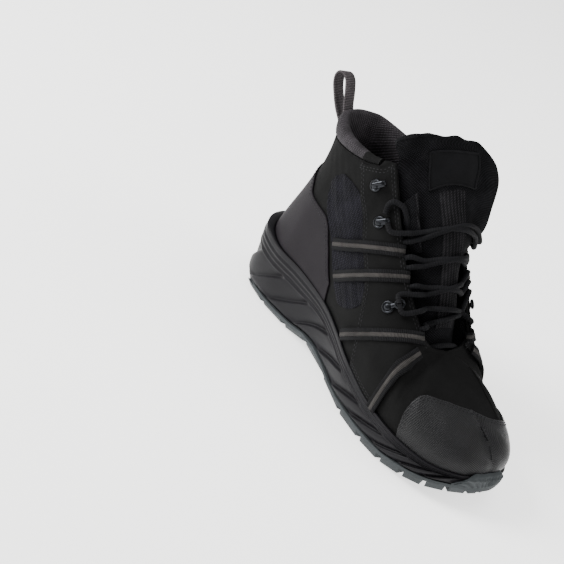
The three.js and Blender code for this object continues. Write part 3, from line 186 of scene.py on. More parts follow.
@dataclass(frozen=True)
class Last:
    """The form that the boot is made on: its sole's outline and its upper's surface, by station.

    Stations run round the boot, 0 at the back of the heel and 26 at the toe, positive on the inner side.
    """

    sole_length: float = 296.0
    ball_width: float = 110.0
    heel_width: float = 80.0
    shaft_height: float = 168.0
    instep_height: float = 75.0
    lug_depth: float = 4.5
    tread_thickness: float = 3.5
    heel_lift: float = 21.0
    ball_lift: float = 9.0
    gap: float = 0.4
    wall: float = 2.2
    overlay: float = 1.2
    toe: float = 26.0
    throat_end: float = 18.0

    def half_width(self, along: Array) -> Array:
        """The half width that an outline share counts from, heel to ball."""
        share = ease((along - 0.2) / 0.5)
        return (self.heel_width + (self.ball_width - self.heel_width) * share) / 2

    def knots(self) -> Array:
        """The outline's rows as points once round: heel, inner side, toe, outer side."""
        along = OUTLINE.key
        inner = np.stack([along * self.sole_length, -OUTLINE.columns["inner"] * self.half_width(along)], 1)
        outer = np.stack([along * self.sole_length, OUTLINE.columns["outer"] * self.half_width(along)], 1)
        return np.concatenate([inner, outer[1:-1][::-1]])

    def outline(self, station: Array | float, inset: Array | float = 0) -> tuple[Array, Array]:
        """Points of the sole's outline.

        Args:
            station: Signed stations.
            inset: How far in from the outline.

        Returns:
            The points, with height 0, and their outward normals.
        """
        knots = self.knots()
        n = len(knots)
        t = np.mod(np.asarray(station, float) / self.toe * n / 2, n) + n
        i = np.floor(t).astype(int)
        s = (t - i)[..., None]
        a, b, c, d = (knots[(i + k) % n] for k in (-1, 0, 1, 2))
        square, cube = 2 * a - 5 * b + 4 * c - d, 3 * b - a - 3 * c + d
        point = 0.5 * (2 * b + (c - a) * s + square * s**2 + cube * s**3)
        slope = 0.5 * (c - a + 2 * square * s + 3 * cube * s**2)
        flat = unit(np.stack([slope[..., 1], -slope[..., 0]], -1))
        normal = np.concatenate([flat, np.zeros_like(flat[..., :1])], -1)
        spot = np.concatenate([point, np.zeros_like(point[..., :1])], -1)
        return spot - normal * np.asarray(inset, float)[..., None], normal

    def height(self, x: Array, column: str) -> Array:
        """A column of the heights table at a distance from the heel."""
        return HEIGHTS.read(column, x / self.sole_length)

    def lip_height(self, x: Array) -> Array:
        """Height of the midsole's top edge."""
        return self.height(x, "lip") * self.shaft_height

    def tread_top(self, x: Array) -> Array:
        """Height of the outsole sheet's upper face."""
        return self.height(x, "ground") + self.lug_depth + self.tread_thickness

    def bed(self, x: Array) -> Array:
        """Height of the midsole's bed."""
        share = self.height(x, "bed")
        return self.tread_top(x) + self.gap + self.ball_lift + (self.heel_lift - self.ball_lift) * share

    def spine(self, along: Array) -> Array:
        """Where the middle of the sole runs, across."""
        both = OUTLINE.read("outer", along) - OUTLINE.read("inner", along)
        return both * self.half_width(along) / 2

    def inward(self, station: Array, share: float, height: Callable[[Array], Array]) -> Array:
        """A ring of points between the outline and the spine.

        Args:
            station: Signed stations.
            share: 0 on the outline and 1 on the spine.
            height: Gives the height at a distance from the heel.

        Returns:
            The points.
        """
        edge = self.outline(np.abs(station))[0][..., 0] / self.sole_length
        along = np.clip(edge, 0.09, 0.9)
        middle = np.stack([along * self.sole_length, self.spine(along), np.zeros_like(along)], -1)
        ring = self.outline(station)[0] * (1 - share) + middle * share
        ring[..., 2] = height(ring[..., 0])
        return ring

    def top_edge(self, station: Array) -> Array:
        """The upper's top edge: the collar, the throat, then the centre line of the vamp."""
        s = np.abs(station)
        outer = station < 0
        half = np.where(outer, UPPER.read("outer", s), UPPER.read("inner", s))
        by_heel = s < UPPER.key[1]
        straight = np.where(outer, UPPER.columns["outer"][1], UPPER.columns["inner"][1]) * s / UPPER.key[1]
        half = np.where(by_heel, straight, half) * self.ball_width / 2
        z = UPPER.read("shaft", s) * self.shaft_height + UPPER.read("vamp", s) * self.instep_height
        return np.stack([UPPER.read("x", s) * self.sole_length, np.where(outer, half, -half), z], -1)

    def point(self, station: Array | float, v: Array | float) -> Array:
        """The upper's outer face.

        Args:
            station: Signed stations.
            v: 0 at the foot of the wall and 1 at its top edge.

        Returns:
            Points, one for each pair.
        """
        station, v = np.broadcast_arrays(np.asarray(station, float), np.asarray(v, float))
        station = np.mod(station + self.toe, 2 * self.toe) - self.toe
        s = np.abs(station)
        half = self.ball_width / 2
        foot, normal = self.outline(station, UPPER.read("welt", s) * half)
        foot[..., 2] = self.bed(foot[..., 0]) + self.gap
        top = self.top_edge(station)
        before = self.top_edge(s - 0.5)
        after = self.top_edge(np.minimum(self.toe, s + 0.5))
        on_vamp = ease((s - self.throat_end + 5) / 5)
        fall = on_vamp * (after[..., 2] - before[..., 2]) / np.maximum(1, after[..., 0] - before[..., 0])
        out = np.stack([normal[..., 0], normal[..., 1], normal[..., 0] * fall], -1)
        low = foot + normal * (UPPER.read("bulge", s) * half)[..., None]
        low[..., 2] += UPPER.read("rise", s) * self.shaft_height
        spread = np.where(station < 0, UPPER.read("outer_spread", s), UPPER.read("spread", s))
        high = top + out * (spread * half)[..., None]
        high[..., 2] -= UPPER.read("drop", s) * self.shaft_height
        t = v[..., None]
        return foot * (1 - t) ** 3 + 3 * low * t * (1 - t) ** 2 + 3 * high * t**2 * (1 - t) + top * t**3

    def slope_normal(self, station: Array, v: Array) -> Array:
        """The outward normal of one half of the upper."""
        d = 0.02
        along = self.point(station + d, v) - self.point(station - d, v)
        up = self.point(station, np.minimum(1, v + d)) - self.point(station, np.maximum(0, v - d))
        return unit(np.cross(along, up))

    def normal(self, station: Array | float, v: Array | float) -> Array:
        """The upper's outward normal, shared by both halves on the centre line of the vamp."""
        station, v = np.broadcast_arrays(np.asarray(station, float), np.asarray(v, float))
        own = self.slope_normal(station, v)
        both = own + self.slope_normal(-station, v)
        both[..., 1] = 0
        weld = ((v > 0.999) & (np.abs(station) >= self.throat_end))[..., None]
        return np.where(weld, unit(both), own)

    def off(self, station: Array | float, v: Array | float, distance: Array | float) -> Array:
        """Points off the upper's outer face."""
        reach = np.asarray(distance, float)[..., None]
        return self.point(station, v) + self.normal(station, v) * reach

    def v_at_height(self, station: Array, z: Array) -> Array:
        """The v at which the upper's face reaches a height."""
        low, high = np.zeros_like(z), np.ones_like(z)
        for _ in range(24):
            middle = (low + high) / 2
            under = self.point(station, middle)[..., 2] < z
            low, high = np.where(under, middle, low), np.where(under, high, middle)
        return (low + high) / 2

    def lip_v(self, station: Array) -> Array:
        """The v at the midsole's top edge."""
        station = np.asarray(station, float)
        return self.v_at_height(station, self.lip_height(self.outline(station, 6.0)[0][..., 0]))

    def lip_point(self, station: Array, distance: Array | float) -> Array:
        """Points beside the upper at the midsole's top edge."""
        v = self.lip_v(station)
        normal = self.normal(station, v)
        normal[..., 2] = 0
        return self.point(station, v) + unit(normal) * np.asarray(distance, float)[..., None]

    def moved(self, station: Array, v: Array, move: Array) -> tuple[Array, Array]:
        """Follows short moves along the upper.

        Args:
            station: Signed stations.
            v: Their v.
            move: Moves in millimetres, one for each.

        Returns:
            The stations and the v that the moves lead to.
        """
        d = 0.01
        along = (self.point(station + d, v) - self.point(station - d, v)) / (2 * d)
        up = (self.point(station, v) - self.point(station, v - d)) / d
        aa, ab, bb = (along * along).sum(-1), (along * up).sum(-1), (up * up).sum(-1)
        am, bm = (along * move).sum(-1), (up * move).sum(-1)
        size = aa * bb - ab * ab
        return station + (am * bb - bm * ab) / size, np.minimum(1, v + (bm * aa - am * ab) / size)

    def uv(self, station: Array, v: Array) -> Array:
        """Flat coordinates of the upper's surface in metres, mirrored from side to side."""
        station = np.abs(station)
        fine = np.linspace(0, self.toe, 105)
        run = distance(self.point(fine, 0.5))
        wall = self.point(fine[:, None], np.linspace(0, 1, 13)[None, :])
        tall = np.linalg.norm(np.diff(wall, axis=1), axis=2).sum(1)
        return np.stack([np.interp(station, fine, run), v * np.interp(station, fine, tall)], -1) * MM

    def beside_throat(self, station: float, reach: float, out: float) -> Array:
        """A point beside the throat's edge.

        Args:
            station: A signed station.
            reach: How far towards the throat's middle.
            out: How far to the front.

        Returns:
            The point.
        """
        s = np.array(station, float)
        along = unit(self.top_edge(s + 0.1) - self.top_edge(s - 0.1))
        inwards = np.array([0, math.copysign(1, station), 0])
        inwards = unit(inwards - along * inwards.dot(along))
        front = np.cross(along, inwards) * math.copysign(1, station)
        front = -front if front[2] < 0 else front
        return self.top_edge(s) + inwards * reach + front * out


LAST = Last()


def round_toe(start: float, step: float) -> Array:
    """Stations from the inner side round the toe to the outer side, both ends at the same distance."""
    return np.concatenate([steps(start, LAST.toe, step), -steps(LAST.toe, start, step)[1:]])


def hex_colour(code: str) -> tuple[float, float, float, float]:
    """An sRGB hex colour as linear values with alpha."""
    parts = [int(code[i : i + 2], 16) / 255 for i in (1, 3, 5)]
    linear = [c / 12.92 if c <= 0.04045 else ((c + 0.055) / 1.055) ** 2.4 for c in parts]
    return (*linear, 1.0)


class Pattern(Enum):
    """How a surface's small relief is laid out."""

    GRAIN = "grain"
    TWILL = "twill"
    WEAVE = "weave"
    RIBS = "ribs"
    BRAID = "braid"


def add(
    tree: bpy.types.NodeTree,
    kind: str,
    values: dict | None = None,
    links: dict | None = None,
    **settings: object,
) -> bpy.types.Node:
    """Adds a shader node.

    Args:
        tree: The material's node tree.
        kind: The node's type without its first word.
        values: Input sockets' values, by name or number.
        links: Output sockets to join to inputs, by name or number.
        settings: The node's own settings.

    Returns:
        The new node.
    """
    made = tree.nodes.new("ShaderNode" + kind)
    for name, value in settings.items():
        setattr(made, name, value)
    for name, value in (values or {}).items():
        made.inputs[name].default_value = value
    for name, socket in (links or {}).items():
        tree.links.new(socket, made.inputs[name])
    return made


@dataclass(frozen=True)
class Finish:
    """A surface: its colours, its gloss and its relief, worked out from real sizes in millimetres."""

    name: str
    dark: str
    light: str
    roughness: float = 0.8
    pattern: Pattern = Pattern.GRAIN
    thread: float = 0.8
    relief: float = 0.15
    grain: float = 0.4
    grain_relief: float = 0.05
    mottle: float = 12.0
    specular: float = 0.4
    metallic: float = 0.0
    turn: float = 0.0
    glow: float = 0.0

    def material(self) -> bpy.types.Material:
        """Makes the material, or gives the one already made."""
        found = bpy.data.materials.get(self.name)
        if found:
            return found
        made = bpy.data.materials.new(self.name)
        made.use_nodes = True
        tree = made.node_tree
        tree.nodes.clear()
        solid = add(tree, "TexCoord").outputs["Object"]
        flat = add(tree, "UVMap", uv_map="Flat").outputs["UV"]
        mottle = add(tree, "TexNoise", {"Scale": 1 / (self.mottle * MM), "Detail": 4.0}, {"Vector": solid})
        grain = add(tree, "TexNoise", {"Scale": 1 / (self.grain * MM), "Detail": 3.0}, {"Vector": solid})
        height = self.height(tree, flat)
        fine = grain.outputs["Fac"] if height is None else height
        clouds = add(tree, "Math", {1: 0.55}, {0: mottle.outputs["Fac"]}, operation="MULTIPLY").outputs[0]
        thread = add(tree, "Math", {1: 0.45}, {0: fine}, operation="MULTIPLY").outputs[0]
        share = add(tree, "Math", {}, {0: clouds, 1: thread}, operation="ADD").outputs[0]
        ramp = add(tree, "ValToRGB", {}, {"Fac": share})
        ramp.color_ramp.elements[0].position = 0.25
        ramp.color_ramp.elements[0].color = hex_colour(self.dark)
        ramp.color_ramp.elements[1].position = 0.72
        ramp.color_ramp.elements[1].color = hex_colour(self.light)
        depth = {"Strength": 1.0, "Distance": self.grain_relief * MM}
        bump = add(tree, "Bump", depth, {"Height": grain.outputs["Fac"]}).outputs["Normal"]
        if height is not None:
            depth = {"Strength": 1.0, "Distance": self.relief * MM}
            bump = add(tree, "Bump", depth, {"Height": height, "Normal": bump}).outputs["Normal"]
        shader = add(
            tree,
            "BsdfPrincipled",
            {
                "Roughness": self.roughness,
                "Metallic": self.metallic,
                "Specular IOR Level": self.specular,
                "Emission Color": hex_colour(self.light),
                "Emission Strength": self.glow,
            },
            {"Base Color": ramp.outputs["Color"], "Normal": bump},
        )
        add(tree, "OutputMaterial", {}, {"Surface": shader.outputs["BSDF"]})
        return made

    def height(self, tree: bpy.types.NodeTree, flat: bpy.types.NodeSocket) -> bpy.types.NodeSocket | None:
        """The pattern's height from 0 to 1, or None for plain grain.

        Args:
            tree: The material's node tree.
            flat: The surface's flat coordinates in metres.

        Returns:
            A socket with the height.
        """
        if self.pattern is Pattern.GRAIN:
            return None
        turned = add(tree, "Mapping", {"Rotation": (0, 0, math.radians(self.turn))}, {"Vector": flat})
        vector = {"Vector": turned.outputs["Vector"]}
        spacing = 1 / (self.thread * MM)
        # A wave texture's bands repeat every pi / 10 units.
        scale = spacing * math.pi / 10
        first = add(tree, "TexWave", {"Scale": scale}, vector, bands_direction="X").outputs["Fac"]
        if self.pattern is Pattern.RIBS:
            return first
        second = add(tree, "TexWave", {"Scale": scale}, vector, bands_direction="Y").outputs["Fac"]
        if self.pattern is Pattern.WEAVE:
            return add(tree, "Math", {}, {0: first, 1: second}, operation="MULTIPLY").outputs[0]
        scale /= math.sqrt(2)
        slant = add(tree, "TexWave", {"Scale": scale}, vector, bands_direction="DIAGONAL").outputs["Fac"]
        if self.pattern is Pattern.TWILL:
            return add(tree, "Math", {}, {0: slant, 1: first}, operation="MULTIPLY").outputs[0]
        return add(tree, "Math", {}, {0: slant, 1: second}, operation="MAXIMUM").outputs[0]


# Nubuck leather, buffed: a matt short nap with faint cloudy patches.
NUBUCK = Finish(
    "nubuck_buffed", "#060606", "#131313", 0.9,
    grain=0.5, grain_relief=0.1, mottle=16, specular=0.1,
)
# Polyester twill mesh, woven: a fine slanting rib, a little violet in the dark.
TWILL_MESH = Finish(
    "polyester_twill_woven", "#08080b", "#1d1c23", 0.8,
    Pattern.TWILL, 1.5, 0.45, turn=35, specular=0.08,
)
# Padded air mesh, knitted: open cells with a light top thread.
AIR_MESH = Finish(
    "air_mesh_knitted", "#1c1a1c", "#484448", 0.85,
    Pattern.WEAVE, 1.6, 0.45, turn=45, specular=0.15,
)
# Tongue mesh, knitted: the same cells in black.
TONGUE_MESH = Finish(
    "tongue_mesh_knitted", "#0a0a0b", "#202022", 0.9,
    Pattern.WEAVE, 1.5, 0.4, turn=45, specular=0.04,
)
# Polyurethane film over microfibre, moulded: smooth, with a low even shine.
COUNTER_FILM = Finish(
    "polyurethane_moulded", "#171518", "#211e21", 0.6,
    grain=0.7, grain_relief=0.09, mottle=25, specular=0.05,
)
# The same film in black, embossed as a patch.
PATCH_FILM = Finish(
    "polyurethane_embossed", "#070708", "#111113", 0.65,
    grain=0.6, grain_relief=0.08, mottle=9, specular=0.08,
)
# Abrasion-proof nylon with a rubber coat, woven and dipped: a fine diagonal weave.
CAP_CLOTH = Finish(
    "nylon_dipped", "#060607", "#161619", 0.36,
    Pattern.WEAVE, 1.3, 0.3, turn=32, mottle=22, specular=0.22,
)
# Polyester tape, woven: a slanting twill, a little lighter than the tongue.
RUNNER_TAPE = Finish(
    "tape_woven", "#0c0c0d", "#2d2c2e", 0.88,
    Pattern.TWILL, 1.4, 0.45, turn=45, specular=0.05,
)
# Polyester webbing, woven: strong ribs across the band, the middle lighter than the edges.
WEBBING_EDGE = Finish(
    "webbing_edge_woven", "#070707", "#1b1b1d", 0.85,
    Pattern.RIBS, 1.2, 0.5, specular=0.1,
)
WEBBING_MIDDLE = Finish(
    "webbing_middle_woven", "#1d1c1c", "#4f4c4a", 0.8,
    Pattern.RIBS, 0.9, 0.5, specular=0.1,
)
LOOP_WEBBING = Finish(
    "loop_webbing_woven", "#232122", "#5a5557", 0.85,
    Pattern.RIBS, 1.3, 0.5, specular=0.15,
)
# Polyester cord, braided: small slanting plaits.
LACE_CORD = Finish(
    "lace_cord_braided", "#050506", "#171719", 0.75,
    Pattern.BRAID, 0.9, 0.25, turn=45, specular=0.08,
)
# EVA foam, compression moulded: a satin skin.
FOAM = Finish(
    "eva_foam_moulded", "#0b0a0d", "#141316", 0.45,
    grain=0.6, grain_relief=0.06, mottle=40, specular=0.1,
)
# Carbon rubber, moulded: dull and grey-green.
RUBBER = Finish(
    "carbon_rubber_moulded", "#272a2b", "#3a3e40", 0.7,
    grain=0.7, grain_relief=0.1, mottle=30, specular=0.2,
)
# Steel, blackened: dark with a bright edge.
GUNMETAL = Finish(
    "steel_blackened", "#1d1e20", "#2f3033", 0.28,
    grain=0.5, grain_relief=0.01, metallic=1.0,
)
# Polyester lining, brushed.
LINING = Finish(
    "lining_brushed", "#060607", "#131315", 0.95,
    Pattern.WEAVE, 1.6, 0.4, turn=45, specular=0.15,
)
# Polyester thread, twisted.
THREAD = Finish("thread_twisted", "#0b0b0c", "#1d1d20", 0.7, grain=0.3, specular=0.25)
# Studio card, painted: white and matt.
FLOOR = Finish(
    "card_painted", "#f7f7f6", "#fbfbfa", 0.95,
    grain=4, grain_relief=0.0, mottle=800, specular=0.0, glow=1.6,
)


class Sheets:
    """Collects grids of points into one mesh with flat coordinates and finishes."""

    def __init__(self) -> None:
        """Starts empty."""
        self.points: list[Array] = []
        self.faces: list[tuple[int, ...]] = []
        self.uvs: list[Array] = []
        self.slots: list[int] = []
        self.count = 0

    def grid(
        self,
        points: Array,
        uv: Array | None = None,
        slot: int | Array = 0,
        round_rows: bool = False,
        flip: bool = False,
    ) -> None:
        """Adds a grid of quads.

        Args:
            points: Rows of columns of points in millimetres.
            uv: Flat coordinates in metres, measured from the grid where none are given.
            slot: The finish's number, one for all, for each column, or for each row and column.
            round_rows: Whether each row closes on itself.
            flip: Whether the faces look the other way.
        """
        rows, columns = points.shape[:2]
        if uv is None:
            run = np.zeros((rows, columns))
            run[:, 1:] = np.cumsum(np.linalg.norm(np.diff(points, axis=1), axis=2), axis=1)
            up = np.zeros((rows, columns))
            up[1:] = np.cumsum(np.linalg.norm(np.diff(points, axis=0), axis=2), axis=0)
            uv = np.stack([run, up], -1) * MM
        slots = np.broadcast_to(slot, (rows, columns))
        start = self.count
        self.points.append(points.reshape(-1, 3))
        self.uvs.append(uv.reshape(-1, 2))
        self.count += rows * columns
        for r in range(rows - 1):
            for c in range(columns if round_rows else columns - 1):
                n = (c + 1) % columns
                face = (
                    start + r * columns + c,
                    start + r * columns + n,
                    start + (r + 1) * columns + n,
                    start + (r + 1) * columns + c,
                )
                self.faces.append(face[::-1] if flip else face)
                self.slots.append(int(slots[r, c]))

    def fan(self, ring: Array, flip: bool = False, slot: int = 0) -> None:
        """Closes a ring of points with triangles round its middle.

        Args:
            ring: The ring.
            flip: Whether the faces look the other way.
            slot: The finish's number.
        """
        start = self.count
        middle = ring.mean(0)
        self.points.append(np.concatenate([ring, middle[None]]))
        self.uvs.append(np.concatenate([ring, middle[None]])[:, :2] * MM)
        n = len(ring)
        self.count += n + 1
        for i in range(n):
            face = (start + i, start + (i + 1) % n, start + n)
            self.faces.append(face[::-1] if flip else face)
            self.slots.append(slot)

    def piece(self, name: str, finishes: Sequence[Finish], weld: float = 0.02) -> bpy.types.Object:
        """Makes the object.

        Args:
            name: The piece's name.
            finishes: Its finishes, in the order of their numbers.
            weld: How close, in millimetres, two points are to be one.

        Returns:
            The object, smooth shaded, in the scene.
        """
        spots = (np.concatenate(self.points) - [HEEL_REST, 0, 0]) * MM
        mesh = bpy.data.meshes.new(name)
        mesh.from_pydata(spots.tolist(), [], self.faces)
        layer = mesh.uv_layers.new(name="Flat")
        flat = np.concatenate(self.uvs)
        corners = np.array([v for f in self.faces for v in f])
        layer.data.foreach_set("uv", flat[corners].astype(np.float32).ravel())
        mesh.polygons.foreach_set("material_index", np.array(self.slots, np.int32))
        for finish in finishes:
            mesh.materials.append(finish.material())
        made = bpy.data.objects.new(name, mesh)
        bpy.context.scene.collection.objects.link(made)
        work = bmesh.new()
        work.from_mesh(mesh)
        bmesh.ops.remove_doubles(work, verts=work.verts, dist=weld * MM)
        work.to_mesh(mesh)
        work.free()
        mesh.shade_smooth()
        return made


def round_edges(piece: bpy.types.Object, radius: float, over: float = 50.0, segments: int = 2) -> None:
    """Rounds a piece's sharp edges.

    Args:
        piece: The piece.
        radius: The radius in millimetres.
        over: The angle in degrees from which an edge is sharp.
        segments: The faces round an edge.
    """
    edge = piece.modifiers.new("edge", "BEVEL")
    edge.width = radius * MM
    edge.segments = segments
    edge.limit_method = "ANGLE"
    edge.angle_limit = math.radians(over)


def thicken(piece: bpy.types.Object, thickness: float, round_by: float) -> None:
    """Gives a sheet its thickness towards the inside, and rounds its edges.

    Args:
        piece: A mesh of one layer.
        thickness: In millimetres.
        round_by: The radius of the edges in millimetres.
    """
    solid = piece.modifiers.new("thickness", "SOLIDIFY")
    solid.thickness = thickness * MM
    solid.offset = -1
    round_edges(piece, round_by)


def settle(piece: bpy.types.Object, slot: str, *nodes: str) -> bpy.types.Object:
    """Rides a piece on the frame and hides the nodes that it stands for.

    Args:
        piece: The piece.
        slot: Not used.
        nodes: The CAD nodes.

    Returns:
        The piece.
    """
    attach(piece, "root")
    if nodes:
        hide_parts(*nodes)
    LOG.info("%s: %d faces", piece.name, len(piece.data.polygons) if piece.type == "MESH" else 0)
    return piece


@dataclass
class Patch:
    """A sheet on the upper between a low and a high edge, both functions of station that give v."""

    name: str
    stations: Array
    low: Callable[[Array], Array]
    high: Callable[[Array], Array]
    off: float
    thickness: float
    finish: Finish
    rows: int = 24
    puff: Callable[[Array, Array], Array] | None = None

    def build(self) -> bpy.types.Object:
        """Makes the patch, with rounded edges."""
        share = np.linspace(0, 1, self.rows + 1)[:, None]
        s = np.broadcast_to(self.stations[None, :], (self.rows + 1, len(self.stations)))
        v = self.low(s) * (1 - share) + self.high(s) * share
        off = self.off + (self.puff(s, v) if self.puff else 0)
        sheets = Sheets()
        sheets.grid(LAST.off(s, v, off), LAST.uv(s, v))
        made = sheets.piece(self.name, [self.finish])
        thicken(made, self.thickness, 0.35)
        return made

    def edge(self, high: bool) -> Array:
        """One long edge as pairs of station and v."""
        v = (self.high if high else self.low)(self.stations)
        return np.stack([self.stations, v], -1)


@dataclass
class Stitching:
    """Rows of stitches beside an edge."""

    length: float = 2.3
    space: float = 1.0
    radius: float = 0.38

    def along(self, edge: Array, inset: float, off: float, sheets: Sheets) -> None:
        """Adds a row of stitches.

        Args:
            edge: Pairs of station and v.
            inset: How far beside the edge, to the left of its way, in millimetres.
            off: Height over the upper.
            sheets: Where the stitches go.
        """
        points = LAST.off(edge[:, 0], edge[:, 1], off)
        normals = LAST.normal(edge[:, 0], edge[:, 1])
        ahead = unit(np.gradient(points, axis=0))
        points = points + np.cross(normals, ahead) * inset
        run = distance(points)
        count = int(run[-1] / (self.length + self.space))
        for i in range(count):
            a = (i + 0.1) * (self.length + self.space)
            ends = np.array([a, a + self.length / 2, a + self.length])
            up = unit(read_line(ends, run, normals))
            self.stitch(read_line(ends, run, points), up[1], sheets)

    def stitch(self, path: Array, up: Array, sheets: Sheets) -> None:
        """Adds one stitch, thick in its middle and sunk at its ends.

        Args:
            path: Its two ends and the middle between them.
            up: The direction off the upper.
            sheets: Where the stitch goes.
        """
        ahead = unit(path[-1] - path[0])
        across = np.cross(ahead, up)
        angles = np.linspace(0, 2 * math.pi, 6, endpoint=False)
        rings = []
        for point, size, sink in zip(path, (0.35, 1.0, 0.35), (0.3, 0, 0.3)):
            ring = np.cos(angles)[:, None] * across + np.sin(angles)[:, None] * up
            rings.append(point - up * sink + ring * self.radius * size)
        sheets.grid(np.array(rings), round_rows=True)
        sheets.fan(rings[0])
        sheets.fan(rings[-1], flip=True)


def sweep(path: Array, ups: Array, section: Array, sheets: Sheets, slots: Array | int = 0) -> None:
    """Adds a solid swept along a path.

    Args:
        path: Points in millimetres.
        ups: The direction of the section's second axis at each point.
        section: A closed outline as pairs of across and up, counter-clockwise seen against the path.
        sheets: Where the solid goes.
        slots: The finish of each side of the section.
    """
    ahead = unit(np.gradient(path, axis=0))
    up = unit(ups - ahead * (ups * ahead).sum(-1, keepdims=True))
    across = np.cross(ahead, up)
    rings = path[:, None] + across[:, None] * section[None, :, :1] + up[:, None] * section[None, :, 1:]
    uv = np.stack(np.broadcast_arrays(distance(path)[:, None], distance(section)[None, :]), -1) * MM
    sheets.grid(rings, uv, slots, round_rows=True)
    sheets.fan(rings[0])
    sheets.fan(rings[-1], flip=True)


def between(low: Array, high: Array, start: float, end: float, at: Array) -> Array:
    """Points of the straight line that passes low at start and high at end."""
    return (end - at) / (end - start) * low + (at - start) / (end - start) * high


def smooth_path(points: Sequence[Array], count: int) -> Array:
    """Even points on a centripetal curve.

    Args:
        points: What the curve passes through.
        count: How many points to give.

    Returns:
        The points, the same distance apart.
    """
    p = np.array(points, float)
    p = np.concatenate([[2 * p[0] - p[1]], p, [2 * p[-1] - p[-2]]])
    gaps = np.sqrt(np.linalg.norm(np.diff(p, axis=0), axis=1))
    t = np.concatenate([[0], np.cumsum(gaps)])
    out = []
    for i in range(1, len(p) - 2):
        u = np.linspace(t[i], t[i + 1], 24, endpoint=i == len(p) - 3)[:, None]
        k0, k1, k2, k3 = t[i - 1 : i + 3]
        first = between(p[i - 1], p[i], k0, k1, u)
        second = between(p[i], p[i + 1], k1, k2, u)
        third = between(p[i + 1], p[i + 2], k2, k3, u)
        out.append(between(between(first, second, k0, k2, u), between(second, third, k1, k3, u), k1, k2, u))
    fine = np.concatenate(out)
    run = distance(fine)
    return read_line(np.linspace(0, run[-1], count), run, fine)


def tube(points: Sequence[Array], diameter: float, sheets: Sheets, sides: int = 12) -> Array:
    """Adds a round cord.

    Args:
        points: What it passes through.
        diameter: In millimetres.
        sheets: Where the cord goes.
        sides: The faces round it.

    Returns:
        Its centre line.
    """
    span = sum(np.linalg.norm(np.subtract(b, a)) for a, b in zip(points, points[1:]))
    path = smooth_path(points, max(8, int(span / 1.2)))
    ahead = unit(np.gradient(path, axis=0))
    up = unit(np.cross(ahead[0], [0.3, 0.5, 0.8]))
    ups = []
    for direction in ahead:
        up = unit(up - direction * up.dot(direction))
        ups.append(up)
    angles = -np.linspace(0, 2 * math.pi, sides, endpoint=False)
    section = np.stack([np.cos(angles), np.sin(angles)], -1) * diameter / 2
    sweep(path, np.array(ups), section[::-1], sheets)
    return path


